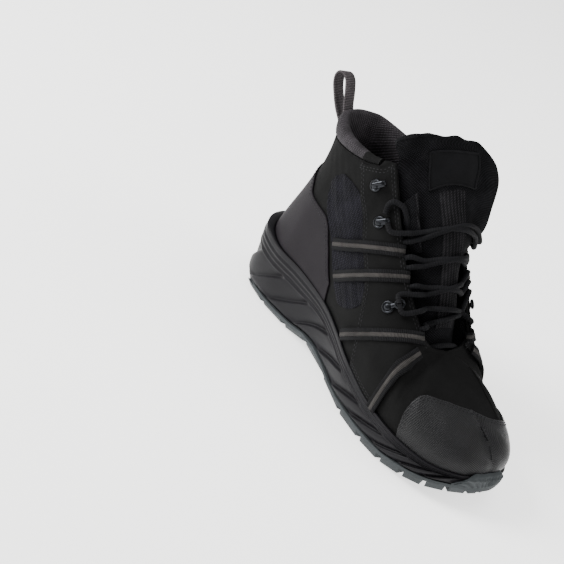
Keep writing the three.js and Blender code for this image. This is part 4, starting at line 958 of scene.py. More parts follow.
@dataclass
class Sole:
    """Outsole, midsole and footbed."""

    panel_pitch: float = 2.0
    panel_depth: float = 3.0
    panel_slant: float = 4.2
    bumper_start: float = 22.2
    bumper_thickness: float = 2.2
    bumper_reach: float = 1.45
    bumper_skin: float = 0.8
    bumper_edge: float = 0.2
    bevel: float = 0.6

    side = Table("rise tuck lean panel", [
        (0.0, 2.2, 0.0, 0), (0.06, 0.5, 0.0, 0.6), (0.14, 0.1, 0.02, 1), (0.35, 0.0, 0.12, 1),
        (0.56, 0.0, 0.32, 1), (0.63, 0.6, 0.38, 0.3), (0.7, 1.3, 0.46, 0), (0.82, 0.3, 0.68, 0),
        (0.93, 0.0, 0.88, 0), (1.0, 0.6, 0.97, 0),
    ])

    def bumper_at(self, station: Array) -> Array:
        """How far the toe bumper has grown, from 0 to 1."""
        return ease((np.abs(station) - self.bumper_start) / 1.5)

    def slanted(self, column: Array, rise: Array | float) -> Array:
        """The station that a column of the panels has reached at a rise."""
        near_heel = ease(np.abs(column) / 3)
        near_toe = ease((LAST.toe - np.abs(column)) / 9)
        return column + np.sign(column) * self.panel_slant * np.minimum(rise, 0.6) * near_heel * near_toe

    def side_point(self, column: Array, rise: Array) -> Array:
        """Points of the midsole's side.

        Args:
            column: Stations at the foot; the panels slant towards the toe as they rise.
            rise: 0 at the foot and 1 at the lip.

        Returns:
            Points in millimetres.
        """
        station = self.slanted(column, rise)
        let_in = (self.bumper_thickness + LAST.gap) * self.bumper_at(station)
        foot, normal = LAST.outline(station, self.side.read("tuck", rise) + let_in)
        low = LAST.tread_top(foot[..., 0]) + LAST.gap
        lip = LAST.lip_point(station, LAST.gap + LAST.height(foot[..., 0], "brim"))
        point = foot + (lip - foot) * self.side.read("lean", rise)[..., None]
        phase = np.mod(np.abs(column), self.panel_pitch) / self.panel_pitch
        groove = np.where(phase < 0.1, 1 - ease(phase / 0.1), phase**2.5)
        clear = 1 - ease((np.abs(column) - self.bumper_start + 1.5) / 1.5)
        strength = self.side.read("panel", rise) * clear
        ridges = 0.35 * np.sin(np.clip((rise - 0.62) / 0.3, 0, 1) * 6 * math.pi)
        point = point - normal * (self.panel_depth * groove * strength - ridges)[..., None]
        point[..., 2] = low + (lip[..., 2] - low) * rise
        return point

    def midsole(self) -> bpy.types.Object:
        """The foam cup: panelled side, fine ridges, a rolled lip, and the bed inside."""
        column = np.linspace(-LAST.toe, LAST.toe, 521)[:-1]
        foot_and_panels = [*np.linspace(0, 0.14, 6), *np.linspace(0.17, 0.6, 14)]
        rise = np.array([*foot_and_panels, *np.linspace(0.62, 0.93, 26), 0.96, 0.985, 1.0])
        s, r = np.meshgrid(column, rise)
        outside = self.side_point(s, r)
        station = self.slanted(column, 1)
        top = LAST.lip_point(station, LAST.gap)
        over = outside[-1] * 0.4 + top * 0.6 + [0, 0, 0.5]
        v = LAST.lip_v(station)
        foot = LAST.off(station, 0, LAST.gap)
        foot[..., 2] = LAST.bed(foot[..., 0])
        inside = [over, top, LAST.off(station, v * 0.6, LAST.gap), foot]
        flat = [LAST.inward(station, share, LAST.bed) for share in (0.6, 1)]
        under = [LAST.inward(column, share, lambda x: LAST.tread_top(x) + LAST.gap) for share in (1, 0.35)]
        sheets = Sheets()
        sheets.grid(np.array([*under, *outside, *inside, *flat]), round_rows=True)
        return settle(sheets.piece("midsole_foam", [FOAM]), "foam", "midsole")

    def toe_bumper(self) -> bpy.types.Object:
        """The rubber that climbs the toe, with slanting ridges, over the outsole's own."""
        station = round_toe(self.bumper_start, SEWN_STEP)
        rise = np.array([-0.3, -0.16, -0.08, *np.linspace(0, 0.94, 22), 0.98, 1.0])
        s, r = np.meshgrid(station, rise)
        grown = self.bumper_at(s)
        height = 0.15 + (self.bumper_reach - 0.15) * grown
        foot, normal = LAST.outline(s, (self.bumper_thickness + LAST.gap) * grown)
        lip = LAST.lip_point(s, LAST.gap + LAST.height(foot[..., 0], "brim"))
        share = np.maximum(0, r) * height
        over = np.maximum(0, share - 0.9)
        low = LAST.tread_top(foot[..., 0]) + LAST.gap
        edge = ease((1.0 - r) / 0.1)
        waves = 0.55 * np.sin(2 * math.pi * (np.abs(s) * 1.5 + r * 1.7))
        waves = waves * ease(r / 0.15) * ease((0.85 - r) / 0.15)
        out = LAST.gap + self.bumper_thickness * grown + 0.75 - 1.6 * (1 - edge) + waves * grown - 4.5 * over
        lean = self.side.read("lean", share)
        point = foot + (lip - foot) * lean[..., None] + normal * out[..., None]
        point[..., 2] = low + (lip[..., 2] - low) * r * height
        sheets = Sheets()
        sheets.grid(point)
        made = sheets.piece("toe_bumper", [RUBBER])
        thicken(made, self.bumper_skin, self.bumper_edge)
        return settle(made, "rubber")

    def build(self) -> None:
        """Makes and dresses the sole."""
        self.midsole()
        self.toe_bumper()
        for name, finish in (("outsole", RUBBER), ("insole", LINING)):
            dress_node(name, finish, self.bevel)


def dress_node(name: str, finish: Finish, bevel: float) -> None:
    """Gives a CAD node its material and small rounded edges.

    Args:
        name: The node's name.
        finish: Its finish.
        bevel: The radius of its edges in millimetres.
    """
    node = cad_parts[name]
    node.data.materials.clear()
    node.data.materials.append(finish.material())
    weld = node.modifiers.new("weld", "WELD")
    weld.merge_threshold = 0.02 * MM
    round_edges(node, bevel, 35)
    node.data.polygons.foreach_set("use_smooth", [True] * len(node.data.polygons))


RIM = Table("station v pad", [
    (0, 0.88, 1), (4, 0.91, 1), (6, 0.94, 0.9), (7.6, 0.955, 0.6), (9, 0.965, 0.25),
])
COUNTER = Table("station top", [
    (0, 0.69), (3, 0.67), (4.6, 0.63), (5.4, 0.585), (7.3, 0.57), (7.8, 0.54), (8.5, 0.44), (9.7, 0.26),
])
TOE_CAP = Table("station inner outer", [
    (17.35, 0.2, 0.3), (17.45, 0.31, 0.305), (17.6, 0.38, 0.31), (17.92, 0.46, 0.32), (19.27, 0.625, 0.38),
    (20.05, 0.72, 0.445), (21.04, 0.822, 0.613), (21.84, 0.894, 0.775), (22.4, 0.938, 0.893),
    (22.8, 0.968, 0.957), (23.1, 1, 1), (26, 1, 1),
])
VAMP_SEAM = Table("station v", [
    (18.2, 0.76), (18.35, 0.73), (18.7, 0.68), (19.3, 0.64), (19.85, 0.59), (20.65, 0.56),
])
FACING = Table("station seam top", [
    (7.8, 0.92, 0.945), (8.8, 0.81, 0.955), (9.4, 0.755, 0.96), (10, 0.715, 1), (10.9, 0.665, 1),
    (12, 0.62, 1), (12.4, 0.58, 1), (12.8, 0.4, 1), (13.1, 0.1, 1), (15.3, 0.1, 1), (15.9, 0.29, 1),
    (16.8, 0.62, 1), (17.1, 0.82, 1),
])
MESH_PANEL = Table("station low high", [
    (6.35, 0.735, 0.75), (6.5, 0.7, 0.79), (6.7, 0.665, 0.81), (7.04, 0.613, 0.83), (7.75, 0.55, 0.827),
    (8.45, 0.483, 0.81), (9.09, 0.39, 0.78), (9.6, 0.315, 0.75), (10.0, 0.275, 0.735), (10.43, 0.255, 0.715),
    (11.16, 0.305, 0.695), (11.86, 0.39, 0.673), (12.3, 0.455, 0.63), (12.55, 0.5, 0.58),
    (12.67, 0.53, 0.55),
])


@dataclass
class Upper:
    """The upper's wall and the panels sewn on it."""

    counter_end: float = 9.5
    seam_thickness: float = 1.3
    cap_stitched_to: float = 22.95
    thread_height: float = 0.1
    facing_insets: tuple[float, ...] = (1.6, 3.6)
    edge_insets: tuple[float, ...] = (1.4, 3.4)

    def low(self, station: Array) -> Array:
        """The v just over the midsole's lip."""
        return LAST.lip_v(station) + 0.006

    def stations(self, table: Table, side: Side) -> Array:
        """A panel's stations on one side, always running round the boot the same way."""
        return side.value * steps(*table.key[[0, -1]], SEWN_STEP)[:: side.value]

    def wall(self) -> bpy.types.Object:
        """The wall itself: nubuck outside, lining inside, open at the collar and down the throat."""
        fine = np.unique(np.concatenate([steps(0, LAST.toe, 0.125), steps(16, 18, 0.05)]))
        s = np.concatenate([fine, -fine[1:-1][::-1]])
        top = np.where(np.abs(s) <= 9, RIM.read("v", np.abs(s)), 1.0)
        share = np.linspace(0, 1, 57)[:, None]
        v = top[None, :] * share
        station = np.broadcast_to(s[None, :], v.shape)
        sheets = Sheets()
        sheets.grid(LAST.off(station, v, self.crease(station, v)), LAST.uv(station, v), 0, round_rows=True)
        inner = LAST.off(station, v, np.full(v.shape, -LAST.wall))
        sheets.grid(inner, LAST.uv(station, v), 1, round_rows=True, flip=True)
        rim = np.stack([LAST.off(s, top, -LAST.wall * k / 3) for k in range(4)])
        open_rim = np.abs(s) <= LAST.throat_end
        runs = np.concatenate([np.flatnonzero((s < 0) & open_rim), np.flatnonzero((s >= 0) & open_rim)])
        sheets.grid(rim[:, runs], slot=0)
        foot = np.stack([LAST.off(s, 0 * s, -LAST.wall * k / 2) for k in range(3)])
        sheets.grid(foot, slot=1, round_rows=True, flip=True)
        return settle(sheets.piece("upper_wall", [NUBUCK, LINING]), "nubuck", "upper")

    def crease(self, station: Array, v: Array) -> Array:
        """Shallow creases of the nubuck at the ankle and where the toes bend, never outwards."""
        uv = LAST.uv(station, v) / MM
        s = np.abs(station)
        ankle = bump_at(s, 6.6, 1.6) * bump_at(v, 0.84, 0.07)
        folds = np.sin(uv[..., 0] * 0.24 + uv[..., 1] * 0.34) ** 2
        flex = bump_at(s, 17.2, 1.0) * bump_at(v, 0.62, 0.3)
        bends = np.sin(uv[..., 0] * 0.33 - uv[..., 1] * 0.1 + 0.6) ** 4
        return -0.7 * ankle * folds - 0.5 * flex * bends * (v < 0.98)

    def wrinkle(self, station: Array, v: Array) -> Array:
        """Soft slanting wrinkles of the side panel, in millimetres."""
        uv = LAST.uv(station, v) / MM
        slant = uv[..., 0] * 0.55 + uv[..., 1]
        near = 0.5 + 0.5 * np.sin(uv[..., 0] * 0.09 + 1.2)
        return 0.28 * np.sin(slant * 0.42) * near + 0.12 * np.sin(slant * 0.9 + uv[..., 0] * 0.2)

    def overlays(self) -> None:
        """The side panels, and the facings, counter and toe cap, each of these three with its stitching."""
        thread = Stitching()
        over = LAST.gap + LAST.overlay
        for side in Side:
            rows = Sheets()
            panel = Patch(
                f"mesh_panel_{side.label}",
                self.stations(MESH_PANEL, side),
                lambda s: MESH_PANEL.read("low", np.abs(s)),
                lambda s: MESH_PANEL.read("high", np.abs(s)),
                off=0.55, thickness=0.5, finish=TWILL_MESH, rows=40, puff=self.wrinkle,
            )
            settle(panel.build(), "mesh")
            facing = Patch(
                f"facing_nubuck_{side.label}",
                self.stations(FACING, side),
                lambda s: np.maximum(self.low(s), FACING.read("seam", np.abs(s))),
                lambda s: FACING.read("top", np.abs(s)),
                off=over, thickness=LAST.overlay, finish=NUBUCK, rows=36,
            )
            settle(facing.build(), "nubuck", f"facing_{side.label}")
            for inset in self.facing_insets:
                thread.along(facing.edge(False), inset, over + self.thread_height, rows)
                thread.along(facing.edge(True), -inset, over + self.thread_height, rows)
            settle(rows.piece(f"facing_stitches_{side.label}", [THREAD]), "webbing")
        counter = Patch(
            "heel_counter_film",
            steps(-self.counter_end, self.counter_end, 0.08),
            self.low,
            lambda s: COUNTER.read("top", np.abs(s)),
            off=over, thickness=LAST.overlay, finish=COUNTER_FILM,
        )
        settle(counter.build(), "counter", "heel_counter")
        cap = Patch(
            "toe_cap_cloth",
            round_toe(TOE_CAP.key[0], SEWN_STEP),
            self.low,
            lambda s: np.where(s < 0, TOE_CAP.read("outer", np.abs(s)), TOE_CAP.read("inner", np.abs(s))),
            off=over, thickness=LAST.overlay, finish=CAP_CLOTH, rows=36,
        )
        settle(cap.build(), "cap", "toe_cap")
        rows = Sheets()
        cap_edge = cap.edge(True)
        cap_edge = cap_edge[np.abs(cap_edge[:, 0]) < self.cap_stitched_to]
        for inset in self.edge_insets:
            for part in (counter.edge(True), cap_edge[cap_edge[:, 0] > 0], cap_edge[cap_edge[:, 0] < 0]):
                thread.along(part, -inset, over + self.thread_height, rows)
        settle(rows.piece("counter_and_cap_stitches", [THREAD]), "webbing")
        seam = steps(*VAMP_SEAM.key[[0, -1]], 0.1)
        rows = Sheets()
        line = LAST.off(-seam, VAMP_SEAM.read("v", seam), np.full(seam.shape, self.thread_height))
        tube(line, self.seam_thickness, rows, 8)
        settle(rows.piece("vamp_seam_outer", [NUBUCK]), "nubuck")

    def build(self) -> None:
        """Makes and dresses the upper."""
        self.wall()
        self.overlays()


# The collar's section: how far up the rim, how far inside the wall, how puffed, and how lifted.
COLLAR = [
    (0, 0, 0.2, 0.4), (0.35, 0, 1.8, 0.4), (0.8, 0, 1.6, 0.4), (1, 0, 0, 1.6), (1, 0.5, -2, 3),
    (1, 1, -4, 1.8), (0.7, 1, -6.5, 0), (0, 1, -7, 0), (-1.3, 1, -5, 0), (-2.4, 1, -1.6, 0),
    (-2.5, 1, -0.3, 0),
    (-1.7, 1, -0.3, 0), (-0.85, 1, -0.3, 0), (0, 1, -0.3, 0.4),
]


@dataclass
class Collar:
    """The padded rim, from one front corner round the back to the other."""

    end: float = 8.85
    mesh_end: float = 7.5

    def row(self, station: Array, share: float, inside: float, puff: float, lift: float) -> Array:
        """One line of the collar's section along the stations.

        Args:
            station: Signed stations.
            share: How far up the rim, from 0 to 1.
            inside: 0 at the wall's outer face and 1 inside it.
            puff: How far the padding stands out.
            lift: How far it rises.

        Returns:
            The points.
        """
        v = RIM.read("v", np.abs(station))
        pad = RIM.read("pad", np.abs(station))
        distance = -inside * (LAST.wall + LAST.gap) + puff * (pad if abs(puff) > 0.5 else 1)
        p = LAST.off(station, np.minimum(1, v + (1 - v) * share), distance + 0 * v)
        p[..., 2] += lift * (pad if lift > LAST.gap else 1)
        return p

    def build(self) -> None:
        """Makes the collar as a closed padded roll."""
        station = steps(-self.end, self.end, 0.2)
        rings = np.stack([self.row(station, *row) for row in COLLAR], axis=1)
        sheets = Sheets()
        leather = (np.abs(station) > self.mesh_end).astype(int)[:, None] * (np.arange(len(COLLAR)) < 6)
        sheets.grid(rings, slot=leather, round_rows=True, flip=True)
        sheets.fan(rings[0], flip=True, slot=1)
        sheets.fan(rings[-1], slot=1)
        made = sheets.piece("collar_padding", [AIR_MESH, NUBUCK])
        smooth = made.modifiers.new("round", "SUBSURF")
        smooth.levels = 1
        smooth.render_levels = 1
        settle(made, "mesh", "collar")


TONGUE = Table("row x shift shaft vamp ih ib id oh ob od thick", [
    (0, 0.757, 0, 0, 0.8, 0.4, 0.05, 0.11, 0.4, 0.05, 0.11, 4),
    (1, 0.704, 0, 0, 0.94, 0.42, 0.05, 0.15, 0.42, 0.05, 0.15, 4.5),
    (2, 0.682, 0, 0, 1.07, 0.45, 0.11, 0.17, 0.45, 0.11, 0.17, 5),
    (3, 0.652, 0.02, 0.16, 0.975, 0.47, 0.2, 0.19, 0.49, 0.19, 0.18, 6),
    (4, 0.601, 0.04, 0.36, 0.874, 0.5, 0.28, 0.29, 0.49, 0.24, 0.26, 7),
    (5, 0.557, 0.06, 0.56, 0.706, 0.54, 0.33, 0.31, 0.54, 0.08, 0.21, 8),
    (6, 0.497, 0.07, 0.75, 0.52, 0.57, 0.31, 0.24, 0.65, -0.15, 0.25, 9),
    (7, 0.456, 0.08, 0.95, 0.272, 0.54, 0.32, 0.11, 0.7, -0.24, 0.23, 10),
    (8, 0.436, 0.09, 1.143, 0, 0.71, 0.27, 0.1, 0.73, -0.23, 0.16, 10),
    (9, 0.424, 0.1, 1.175, 0, 0.73, 0.23, 0.13, 0.69, -0.19, 0.11, 9),
    (10, 0.416, 0.115, 1.2, 0, 0.65, 0.16, 0.11, 0.56, -0.13, 0.07, 7),
    (11, 0.41, 0.12, 1.21, 0, 0.52, 0.1, 0.08, 0.44, -0.09, 0.03, 4),
])


@dataclass
class Tongue:
    """The padded tongue with its bare patch and the strip that runs down its middle."""

    top: float = 11.0
    edge_radius: float = 1.6
    tape: float = 0.9
    tape_edge: float = 0.3
    gusset: float = 0.6
    gusset_edge: float = 0.1
    border_thickness: float = 1.5

    # Rows of the tongue and the stations of the throat beside them.
    seam = [(0.6, 17.8), (2.55, 16.3), (3.4, 14.6), (4.1, 13.9), (4.85, 12.9), (5.5, 12.2), (6.6, 11.2)]

    def points(self) -> Table:
        """The tongue's rows as plain points, for reading between them."""
        half, tall = LAST.ball_width / 2, LAST.instep_height
        c = TONGUE.columns
        mx, my = c["x"] * LAST.sole_length, c["shift"] * half
        mz = c["shaft"] * LAST.shaft_height + c["vamp"] * tall
        inner = (mx - c["ib"] * tall, my - c["ih"] * half, mz - c["id"] * tall)
        outer = (mx - c["ob"] * tall, my + c["oh"] * half, mz - c["od"] * tall)
        rows = np.stack([c["row"], mx, my, mz, *inner, *outer, c["thick"]], -1)
        return Table("row mx my mz ix iy iz ox oy oz thick", rows)

    def front(self, row: Array | float, j: Array | float) -> Array:
        """The tongue's front: row as in the table, j from -1 at the inner edge to 1 at the outer edge."""
        rows = self.points()
        row, j = np.broadcast_arrays(np.asarray(row, float), np.asarray(j, float))
        out = []
        for axis in "xyz":
            inner, middle, outer = (rows.read(side + axis, row) for side in "imo")
            out.append(middle + (outer - inner) / 2 * j + ((inner + outer) / 2 - middle) * j * j)
        return np.stack(out, -1)

    def normal(self, row: Array | float, j: Array | float) -> Array:
        """The front's outward normal."""
        row, j = np.broadcast_arrays(np.asarray(row, float), np.asarray(j, float))
        d = 0.03
        up = self.front(np.minimum(self.top, row + d), j) - self.front(np.maximum(0, row - d), j)
        across = self.front(row, np.minimum(1, j + d)) - self.front(row, np.maximum(-1, j - d))
        return unit(np.cross(across, up))

    def off(self, row: Array | float, j: Array | float, distance: Array | float) -> Array:
        """Points off the tongue's front."""
        return self.front(row, j) + self.normal(row, j) * np.asarray(distance, float)[..., None]

    def pad(self) -> bpy.types.Object:
        """The padded body."""
        row = steps(0, self.top, 0.1)
        j = np.linspace(-1, 1, 49)
        r, a = np.meshgrid(row, j, indexing="ij")
        roll = bump_at(np.abs(a), 0.86, 0.13) - 0.9 * bump_at(np.abs(a), 0.62, 0.12)
        quilt = (0.5 + 0.9 * roll) * ease((r - 4.5) / 1.5)
        depth = self.points().read("thick", r) * (1 - 0.75 * a**4)
        rise = (0.9 * np.cos(3 * math.pi * a) - 0.3) * ease((r - 9.6) / 1.4)
        front = self.off(r, a, quilt)
        back = self.off(r, a, -depth)
        front[..., 2] += rise
        back[..., 2] += rise
        sheets = Sheets()
        sheets.grid(front)
        sheets.grid(back, flip=True)
        sheets.grid(np.stack([back[0], front[0]]))
        sheets.grid(np.stack([front[-1], back[-1]]), flip=True)
        sheets.grid(np.stack([front[:, 0], back[:, 0]]).transpose(1, 0, 2)[:, ::-1])
        sheets.grid(np.stack([front[:, -1], back[:, -1]]).transpose(1, 0, 2))
        made = sheets.piece("tongue_padding", [TONGUE_MESH])
        round_edges(made, self.edge_radius, segments=3)
        return settle(made, "mesh", "tongue")

    def strap(self, name: str, corners: Sequence[tuple[float, float]], off: float, finish: Finish) -> None:
        """Makes a flat piece sewn on the tongue's front.

        Args:
            name: The piece's name.
            corners: Four pairs of row and j: low inner, low outer, high outer and high inner.
            off: Height over the tongue.
            finish: Its finish.
        """
        low_inner, low_outer, high_outer, high_inner = (np.array(c) for c in corners)
        up = np.linspace(0, 1, 41)[:, None, None]
        over = np.linspace(0, 1, 25)[None, :, None]
        spots = (low_inner * (1 - over) + low_outer * over) * (1 - up)
        spots = spots + (high_inner * (1 - over) + high_outer * over) * up
        r, a = spots[..., 0], spots[..., 1]
        sheets = Sheets()
        sheets.grid(self.off(r, a, off + 0 * r))
        made = sheets.piece(name, [finish])
        thicken(made, self.tape, self.tape_edge)
        settle(made, "webbing")

    def border(self, corners: Sequence[tuple[float, float]]) -> None:
        """The raised border of the bare patch."""
        path = []
        for (r0, a0), (r1, a1) in zip(corners, [*corners[1:], corners[0]]):
            for t in np.linspace(0, 1, 14, endpoint=False):
                path.append(self.off(r0 + (r1 - r0) * t, a0 + (a1 - a0) * t, 1.0))
        sheets = Sheets()
        tube([*path, path[0]], self.border_thickness, sheets, 8)
        settle(sheets.piece("tongue_patch_border", [PATCH_FILM]), "webbing")

    def bellows(self, side: Side) -> None:
        """The thin gusset that joins the tongue's edge to the upper's inside."""
        row = steps(0.6, 6.6, 0.15)
        station = np.interp(row, *zip(*self.seam)) * side.value
        start = self.off(row, -0.93 * side.value, -2.0)
        end = LAST.off(station, 0.9 + 0 * row, -LAST.wall - 0.7)
        share = np.linspace(0, 1, 7)[:, None, None]
        sheets = Sheets()
        sheets.grid(start * (1 - share) + end * share - [0, 0, 1.5] * np.sin(math.pi * share))
        made = sheets.piece(f"tongue_gusset_{side.label}", [LINING])
        thicken(made, self.gusset, self.gusset_edge)
        settle(made, "lining")

    def fold(self) -> None:
        """The folded edge of the gusset, standing proud beside the inner facing, over the lace's end."""
        along = steps(0, 1, 0.04)
        row = 4.5 + 1.45 * along
        middle = -0.715 - 0.03 * along
        width = 0.075 + 0.06 * along
        lift = 3.4 + 4.2 * ease(along * 1.4)
        share = np.linspace(-1, 1, 13)
        grid = [self.off(row + 0.15 * k * along, middle + width * k, lift - 2.2 * k * k) for k in share]
        sheets = Sheets()
        sheets.grid(np.stack(grid, 1), slot=(np.abs(share) > 0.5).astype(int)[None, :])
        made = sheets.piece("tongue_gusset_fold", [TONGUE_MESH, RUNNER_TAPE])
        thicken(made, self.tape, self.tape_edge)
        settle(made, "lining")

    def build(self) -> None:
        """Makes the tongue and what is sewn on it."""
        self.pad()
        for side in Side:
            self.bellows(side)
        self.fold()
        patch = [(6.15, -0.43), (7.0, 0.53), (9.1, 0.5), (7.7, -0.44)]
        self.strap("tongue_patch", patch, 0.9, PATCH_FILM)
        self.border(patch)
        self.strap("tongue_runner", [(2.4, -0.34), (2.4, 0.34), (6.6, 0.31), (6.1, -0.26)], 0.7, RUNNER_TAPE)


TONGUE_FORM = Tongue()


@dataclass(frozen=True)
class Run:
    """One lace run: stations of its loops, rows on the tongue, and its turn round the outer edge."""

    near: float
    near_v: float
    near_row: float
    far_row: float
    far: float
    wrap: float = 0.0
    hold: str = ""


RUNS = [
    Run(16.3, 1, 2.55, 2.95, 14.9), Run(15.25, 0.83, 3.05, 2.9, 16.1, hold="ring"),
    Run(14.6, 0.86, 3.38, 3.7, 14.1, hold="ring"), Run(14.65, 1, 3.58, 3.35, 14.5),
    Run(13.9, 1, 4.08, 4.45, 13.4), Run(13.5, 1, 4.25, 4.2, 13.6),
    Run(12.9, 1, 4.85, 5.55, 12.0, 1.1), Run(12.2, 0.92, 5.05, 5.2, 12.4, 1.1, "hook_lower"),
]


@dataclass
class Hardware:
    """A riveted disc with a hook or a ring, lying on a facing."""

    disc: float = 4.7
    rivet: float = 2.7
    plate: float = 1.1
    hook_width: float = 5.0
    mouth: float = 4.6
    wire: float = 1.7
    hook_reach: float = 8.2
    ring_reach: float = 9.4
    lace_height: float = 2.6

    places = {
        "hook_upper": (9.8, 0.865, 10.45, 0.92),
        "hook_lower": (11.4, 0.83, 11.85, 0.925),
        "ring": (14.4, 0.72, 15.0, 0.86),
    }

    def turned(
        self, profile: Sequence[tuple[float, float]], sheets: Sheets, basis: Array, spot: Array,
    ) -> None:
        """Adds a turned form, closed at its foot and its top.

        Args:
            profile: Pairs of radius and height.
            sheets: Where the form goes.
            basis: Its directions, as frame gives them.
            spot: Its foot.
        """
        angles = np.linspace(0, 2 * math.pi, 28, endpoint=False)
        rings = np.array([
            np.stack([r * np.cos(angles), r * np.sin(angles), h + 0 * angles], -1) for r, h in profile
        ])
        rings = rings @ basis + spot
        sheets.grid(rings, round_rows=True)
        sheets.fan(rings[0], flip=True)
        sheets.fan(rings[-1])

    def frame(self, name: str, side: Side) -> tuple[Array, Array]:
        """The directions of a place, towards the throat, along it and off it, and the rivet's foot."""
        station, v, to_station, to_v = self.places[name]
        sign = side.value
        normal = LAST.normal(sign * station, v)
        x = LAST.point(sign * to_station, to_v) - LAST.point(sign * station, v)
        x = unit(x - normal * x.dot(normal))
        basis = np.array([x, np.cross(normal, x), normal])
        return basis, LAST.off(sign * station, v, LAST.overlay + 2.6 * LAST.gap)

    def hold(self, name: str) -> Array:
        """Where the lace passes through the hook or ring on the inner side."""
        basis, spot = self.frame(name, Side.INNER)
        reach = self.ring_reach if name == "ring" else self.hook_reach
        return np.array([reach, 0, self.lace_height]) @ basis + spot

    def make(self, name: str, side: Side) -> None:
        """One hook or ring."""
        basis, spot = self.frame(name, side)
        sheets = Sheets()
        d, r = self.disc, self.rivet
        disc = [(d, 0), (d, 0.5), (d - 0.5, 0.9), (d - 1.2, 0.9), (d - 1.5, 0.6), (r + 0.3, 0.6)]
        rivet = [(r, 0.5), (r, 1.2), (r - 0.5, 1.8), (r - 1.3, 2.05), (0.5, 2.1)]
        self.turned(disc, sheets, basis, spot)
        self.turned(rivet, sheets, basis, spot)
        if name == "ring":
            path = [(2.6, 0, 0.9), (5.5, 0, 1.3), (7.2, 0, 1.5)]
            self.bar(path, (3.4, 3.0), sheets, basis, spot)
            turn = np.linspace(0, 2 * math.pi, 25)
            loop = [(9.6 + 3.4 * math.cos(t), 3.1 * math.sin(t), 1.6) for t in turn]
            tube([np.array(p) @ basis + spot for p in loop], self.wire, sheets, 8)
        else:
            m = self.mouth
            path = [(2.2, 0, 0.9), (6.0, 0, 1.0), (8.6, 0, 1.4), (9.7, 0, m / 2 + 0.4), (8.8, 0, m),
                    (6.0, 0, m + 0.7), (2.4, 0, m + 1.2), (0.6, 0, m + 1.6)]
            self.bar(path, (self.hook_width, 2.0), sheets, basis, spot)
        made = sheets.piece(f"{name}_metal_{side.label}", [GUNMETAL])
        settle(made, "gunmetal", f"{name}_{side.label}")

    def bar(
        self,
        path: Sequence[tuple[float, float, float]],
        widths: tuple[float, float],
        sheets: Sheets,
        basis: Array,
        spot: Array,
    ) -> None:
        """Adds a bent plate that narrows from one end to the other.

        Args:
            path: The plate's middle, in the directions of its place.
            widths: Its width at the start and at the end.
            sheets: Where the plate goes.
            basis: The directions of its place.
            spot: The place's foot.
        """
        line = smooth_path([np.array(p) for p in path], 36)
        ahead = unit(np.gradient(line, axis=0))
        up = np.cross(ahead, [0, 1, 0])
        half = np.linspace(widths[0], widths[1], len(line)) / 2
        t = self.plate / 2
        rings = []
        below = [(-1, -0.6), (-0.86, -1), (0.86, -1), (1, -0.6)]
        above = [(1, 0.6), (0.86, 1), (-0.86, 1), (-1, 0.6)]
        for w, lift in below + above:
            rings.append(line + np.array([0, 1, 0]) * (half * w)[:, None] + up * lift * t)
        rings = np.stack(rings, 1) @ basis + spot
        sheets.grid(rings, round_rows=True)
        sheets.fan(rings[0], flip=True)
        sheets.fan(rings[-1])


HARDWARE = Hardware()


@dataclass
class Lacing:
    """The lace and its hooks and rings."""

    diameter: float = 4.0
    clearance: float = 1.0

    def run(self, run: Run) -> list[Array]:
        """The points of one run, near side to far side."""
        off = self.diameter / 2 + self.clearance
        on_facing = 2 * LAST.gap + LAST.overlay + off
        across = [-0.6, -0.3, 0, 0.3, *([0.6, 0.8] if run.wrap else [0.55])]
        rows = [run.near_row + (run.far_row - run.near_row) * (j + 0.7) / 1.55 for j in across]
        middle = [TONGUE_FORM.off(r, j, off) for r, j in zip(rows, across)]
        if run.near_v < 1:
            near = [LAST.off(run.near, run.near_v, on_facing), LAST.beside_throat(run.near + 0.4, 0.5, 5)]
            if run.hold:
                near.insert(0, HARDWARE.hold(run.hold))
        else:
            near = [LAST.beside_throat(run.near, -0.6, 0.2), LAST.beside_throat(run.near, 2.6, 4)]
        if not run.wrap:
            far = [LAST.beside_throat(-run.far, 2.6, 4.6), LAST.beside_throat(-run.far, -0.6, 0.6)]
            return [*near, *middle, *far]
        edge = TONGUE_FORM.front(run.far_row, 1)
        side = unit(edge - TONGUE_FORM.front(run.far_row, 0.9))
        out = TONGUE_FORM.normal(run.far_row, 1) * math.cos(run.wrap) + side * math.sin(run.wrap)
        hooked = LAST.off(-(run.far - 0.35), 0.9, on_facing)
        return [*near, *middle, edge + out * (off + 1.4), LAST.beside_throat(-run.far, -2.8, 4.2), hooked]

    def build(self) -> None:
        """Makes the runs, the lowest run and the tucked end, and dresses the metal."""
        off = self.diameter / 2 + self.clearance
        for i in range(4):
            sheets = Sheets()
            for run in RUNS[2 * i : 2 * i + 2]:
                tube(self.run(run), self.diameter, sheets)
            settle(sheets.piece(f"lace_runs_{i + 1}", [LACE_CORD]), "lace", f"lace_cross_{i + 1}")
        sheets = Sheets()
        tube([TONGUE_FORM.off(1.55, j, off) for j in np.linspace(-0.72, 0.72, 5)], self.diameter, sheets)
        settle(sheets.piece("lace_lowest_run", [LACE_CORD]), "lace", "lace_bar")
        on_facing = 2 * LAST.gap + LAST.overlay + off
        points = [LAST.off(s, v, on_facing) for s, v in ((11.5, 0.9), (11.35, 0.935), (11.45, 0.98))]
        points += [LAST.beside_throat(11.7, -0.5, 4.2), LAST.beside_throat(11.95, 2.4, 3.6)]
        points += [LAST.beside_throat(12.3, 5.0, 1.6), LAST.beside_throat(12.55, 6.2, 0.2)]
        sheets = Sheets()
        path = (tube(points, self.diameter, sheets) - [HEEL_REST, 0, 0]) * MM
        end = settle(sheets.piece("lace_tucked_end", [LACE_CORD]), "lace", "lace_end")
        tuple(path[0])
        for side in Side:
            for name in Hardware.places:
                HARDWARE.make(name, side)


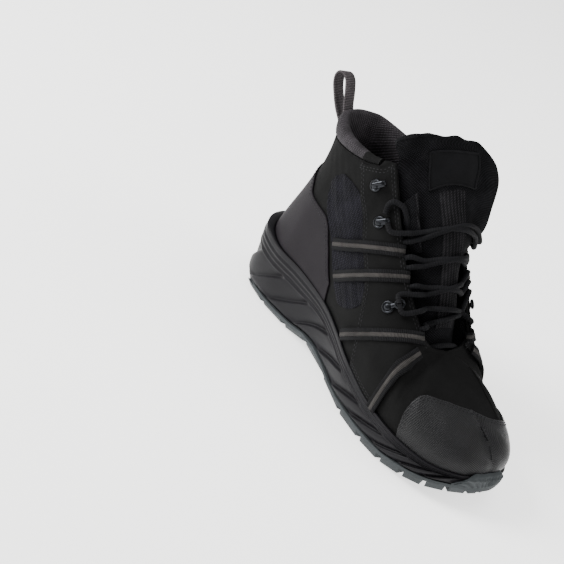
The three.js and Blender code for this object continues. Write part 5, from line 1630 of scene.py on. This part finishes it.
STRIPS = {
    "ankle": Table("at station v over", [
        (0, 8.75, 0.475, 0), (0.3, 10.2, 0.56, 0.4), (0.5, 11.2, 0.65, 1), (0.65, 11.9, 0.74, 1),
        (1, 13.15, 0.975, 1),
    ]),
    "instep": Table("at station v over", [
        (0, 9.7, 0.33, 0), (0.45, 11.75, 0.56, 0.6), (0.6, 12.6, 0.68, 1), (1, 14.2, 0.98, 1),
    ]),
    "waist": Table("at station v over", [
        (0, 11.7, 0.21, 0.6), (0.2, 12.5, 0.31, 1), (0.55, 14.3, 0.53, 1), (0.85, 15.9, 0.8, 1),
        (1, 16.65, 0.965, 1),
    ]),
    "ball": Table("at station v over", [
        (0, 15.3, 0.11, 1), (0.25, 15.75, 0.28, 1), (0.65, 16.45, 0.58, 1.1), (1, 17.0, 0.84, 1.2),
    ]),
}


@dataclass
class Webbing:
    """The ribbed webbing strips on both sides and the pull loop at the back."""

    width: float = 9.0
    thickness: float = 1.3
    loop_width: float = 10.0
    loop_thickness: float = 1.8
    loop_shift: float = 3.0

    # The end that turns in at the throat: how far ahead, how far down, and how far along the band.
    turn_in = [(1.4, 0.4, 1.5), (2.6, 1.6, 3.2), (3.0, 3.2, 5), (2.2, 4.6, 6.6), (0.8, 5.2, 8)]

    # The loop's free part, as shares of the sole's length behind the rim and of the shaft's height over it.
    loop = [
        (0.003, -0.098), (0.024, -0.069), (0.05, -0.036), (0.075, 0.008), (0.097, 0.057), (0.102, 0.092),
        (0.093, 0.117), (0.076, 0.123), (0.059, 0.108), (0.047, 0.077), (0.038, 0.048), (0.029, 0.012),
        (0.016, -0.023), (0.005, -0.049), (-0.001, -0.072),
    ]

    def section(self) -> tuple[Array, Array]:
        """A band's cross-section as pairs of across and up, and each side's finish: 1 in the middle."""
        half, middle, t = self.width / 2, self.width * 0.15, self.thickness
        across = [half, half, half - 0.3, middle + 0.25, middle, middle - 0.2]
        across = [*(-w for w in across), *across[::-1]]
        up = [0, t * 0.6, t * 0.95, t * 0.95, t * 0.75, t * 1.1]
        slots = [0, 0, 0, 1, 1, 1, 1, 1, 0, 0, 0, 0]
        return np.stack([across, up + up[::-1]], -1), np.array(slots)

    def straight(self, station: Array, v: Array) -> tuple[Array, Array]:
        """Pulls a line on the upper straight between its ends, as a taut band lies.

        Args:
            station: The line's stations.
            v: Its v.

        Returns:
            Its stations and v once it is straight.
        """
        ends = LAST.point(station[[0, -1]], v[[0, -1]])
        chord = ends[1] - ends[0]
        facing = unit(LAST.normal(station, v).mean(0))
        facing = unit(facing - chord * facing.dot(chord) / chord.dot(chord))
        side = unit(np.cross(chord, facing))
        for _ in range(6):
            away = (LAST.point(station, v) - ends[0]) @ side
            station, v = LAST.moved(station, v, -away[:, None] * side)
        return station, v

    def strip(self, place: str, side: Side) -> None:
        """One strip, lying on the upper and the facing, folded in at the throat."""
        table = STRIPS[place]
        t = np.linspace(0, 1, 60)
        s, v = side.value * table.read("station", t), table.read("v", t)
        s, v = self.straight(s, v)
        points = LAST.point(s, v)
        normals = LAST.normal(s, v)
        ahead = unit(np.gradient(points, axis=0))
        across = np.cross(normals, ahead)
        base = 0.6 + table.read("over", t) * 1.45
        section, slots = self.section()
        grid = []
        for w, lift in section:
            cs, cv = LAST.moved(s, v, across * w * side.value)
            grid.append(LAST.off(cs, cv, base + lift))
        grid = np.stack(grid, 1)
        run = distance(points)
        if place != "ball":
            tail = [grid[-1] + ahead[-1] * forward - normals[-1] * down for forward, down, _ in self.turn_in]
            grid = np.concatenate([grid, tail])
            run = np.concatenate([run, run[-1] + np.array([more for _, _, more in self.turn_in])])
        uv = np.stack(np.broadcast_arrays(run[:, None], section[None, :, 0]), -1) * MM
        sheets = Sheets()
        sheets.grid(grid, uv, slots, round_rows=True, flip=side is Side.INNER)
        sheets.fan(grid[0], flip=side is Side.INNER)
        sheets.fan(grid[-1], flip=side is Side.OUTER)
        made = sheets.piece(f"webbing_{place}_{side.label}", [WEBBING_EDGE, WEBBING_MIDDLE])
        settle(made, "webbing", f"strip_{place}_{side.label}")

    def pull_loop(self) -> None:
        """The loop of webbing behind the collar."""
        rim = LAST.top_edge(np.array(0.0))
        half = self.loop_thickness / 2 + LAST.gap
        legs = [LAST.off(0.0, v, half + off) for v, off in ((0.74, 0), (0.8, 0), (0.86, 0.8))]
        free = [rim + [-back * LAST.sole_length, 0, up * LAST.shaft_height] for back, up in self.loop]
        path = smooth_path([p * [1, 0, 1] - [0, self.loop_shift, 0] for p in [*legs, *free]], 90)
        ahead = unit(np.gradient(path, axis=0))
        ups = np.cross(ahead, [0, -1, 0])
        w, t = self.loop_width / 2, self.loop_thickness / 2
        rib = w * 0.55
        section = np.array([
            (-w, -t * 0.6), (-w * 0.96, -t), (w * 0.96, -t), (w, -t * 0.6), (w, t * 0.6), (w * 0.96, t),
            (rib, t * 0.95), (rib - 0.3, t * 0.7), (-rib + 0.3, t * 0.7), (-rib, t * 0.95), (-w * 0.96, t),
            (-w, t * 0.6),
        ])
        sheets = Sheets()
        sweep(path, ups, section, sheets)
        settle(sheets.piece("pull_loop_webbing", [LOOP_WEBBING]), "webbing", "pull_loop")

    def build(self) -> None:
        """Makes every strip and the loop."""
        for side in Side:
            for place in STRIPS:
                self.strip(place, side)
        self.pull_loop()


@dataclass
class Studio:
    """The camera, the floor and the light."""

    eye: tuple[float, float, float] = (0.6779, -0.7004, 0.5052)
    azimuth: float = 44.47
    elevation: float = 27.035
    roll: float = 24.71
    lens: float = 83.74
    sensor: float = 36.0
    aim: tuple[float, float, float] = (0.08, 0, 0.08)
    floor_reach: float = 5000.0
    floor_drop: float = 0.02
    surround: float = 0.5

    # Each light's place in metres, its power in watts and the side of its square.
    lights = {
        "key": ((-0.9, -1.2, 1.2), 55, 0.9),
        "top": ((0.1, 0.3, 2.0), 16, 1.4),
        "rim": ((1.1, 1.0, 0.9), 8, 0.8),
    }

    def camera(self) -> None:
        """The camera where the photograph was taken from, rolled as it was."""
        a, e = math.radians(self.azimuth), math.radians(self.elevation)
        back = Vector((math.sin(a) * math.cos(e), -math.cos(a) * math.cos(e), math.sin(e)))
        data = bpy.data.cameras.new("camera")
        data.lens = self.lens
        data.sensor_width = self.sensor
        made = bpy.data.objects.new("camera", data)
        bpy.context.scene.collection.objects.link(made)
        turn = (-back).to_track_quat("-Z", "Y").to_matrix().to_4x4()
        roll = Matrix.Rotation(math.radians(self.roll), 4, "Z")
        made.matrix_world = Matrix.Translation(self.eye) @ turn @ roll
        bpy.context.scene.camera = made

    def light(self, name: str, place: Sequence[float], power: float, size: float) -> None:
        """Adds a soft square light that looks at the boot.

        Args:
            name: The light's name.
            place: Where it is, in metres.
            power: In watts.
            size: Its side in metres.
        """
        data = bpy.data.lights.new(name, "AREA")
        data.energy = power
        data.size = size
        made = bpy.data.objects.new(name, data)
        bpy.context.scene.collection.objects.link(made)
        made.location = place
        made.rotation_mode = "QUATERNION"
        made.rotation_quaternion = (Vector(self.aim) - Vector(place)).to_track_quat("-Z", "Y")

    def build(self) -> None:
        """Makes the camera, a pale floor, three soft lights and a bright surround."""
        self.camera()
        sheets = Sheets()
        spread = np.linspace(-self.floor_reach, self.floor_reach, 3)
        x, y = np.meshgrid(spread, spread)
        sheets.grid(np.stack([x, y, 0 * x - self.floor_drop], -1))
        floor = sheets.piece("floor", [FLOOR])
        floor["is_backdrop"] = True
        for name, settings in self.lights.items():
            self.light(name, *settings)
        world = bpy.data.worlds.new("surround")
        world.use_nodes = True
        shade = world.node_tree.nodes["Background"]
        shade.inputs["Color"].default_value = hex_colour("#ffffff")
        shade.inputs["Strength"].default_value = self.surround
        bpy.context.scene.world = world


def corners(box: tuple[Vector, Vector]) -> list[list[float]]:
    """A box as plain lists."""
    return [[round(float(c), 5) for c in corner] for corner in box]


def main() -> None:
    """Builds the scene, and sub-assembly by sub-assembly."""
    for part in (Studio(), Lacing(), Webbing(), Sole(), Upper(), Collar(), TONGUE_FORM):
        part.build()
        LOG.info("%s done", type(part).__name__)
    {"cad": corners(CAD_BOX), "visual": corners(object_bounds())}


if __name__ == "__main__":
    main()
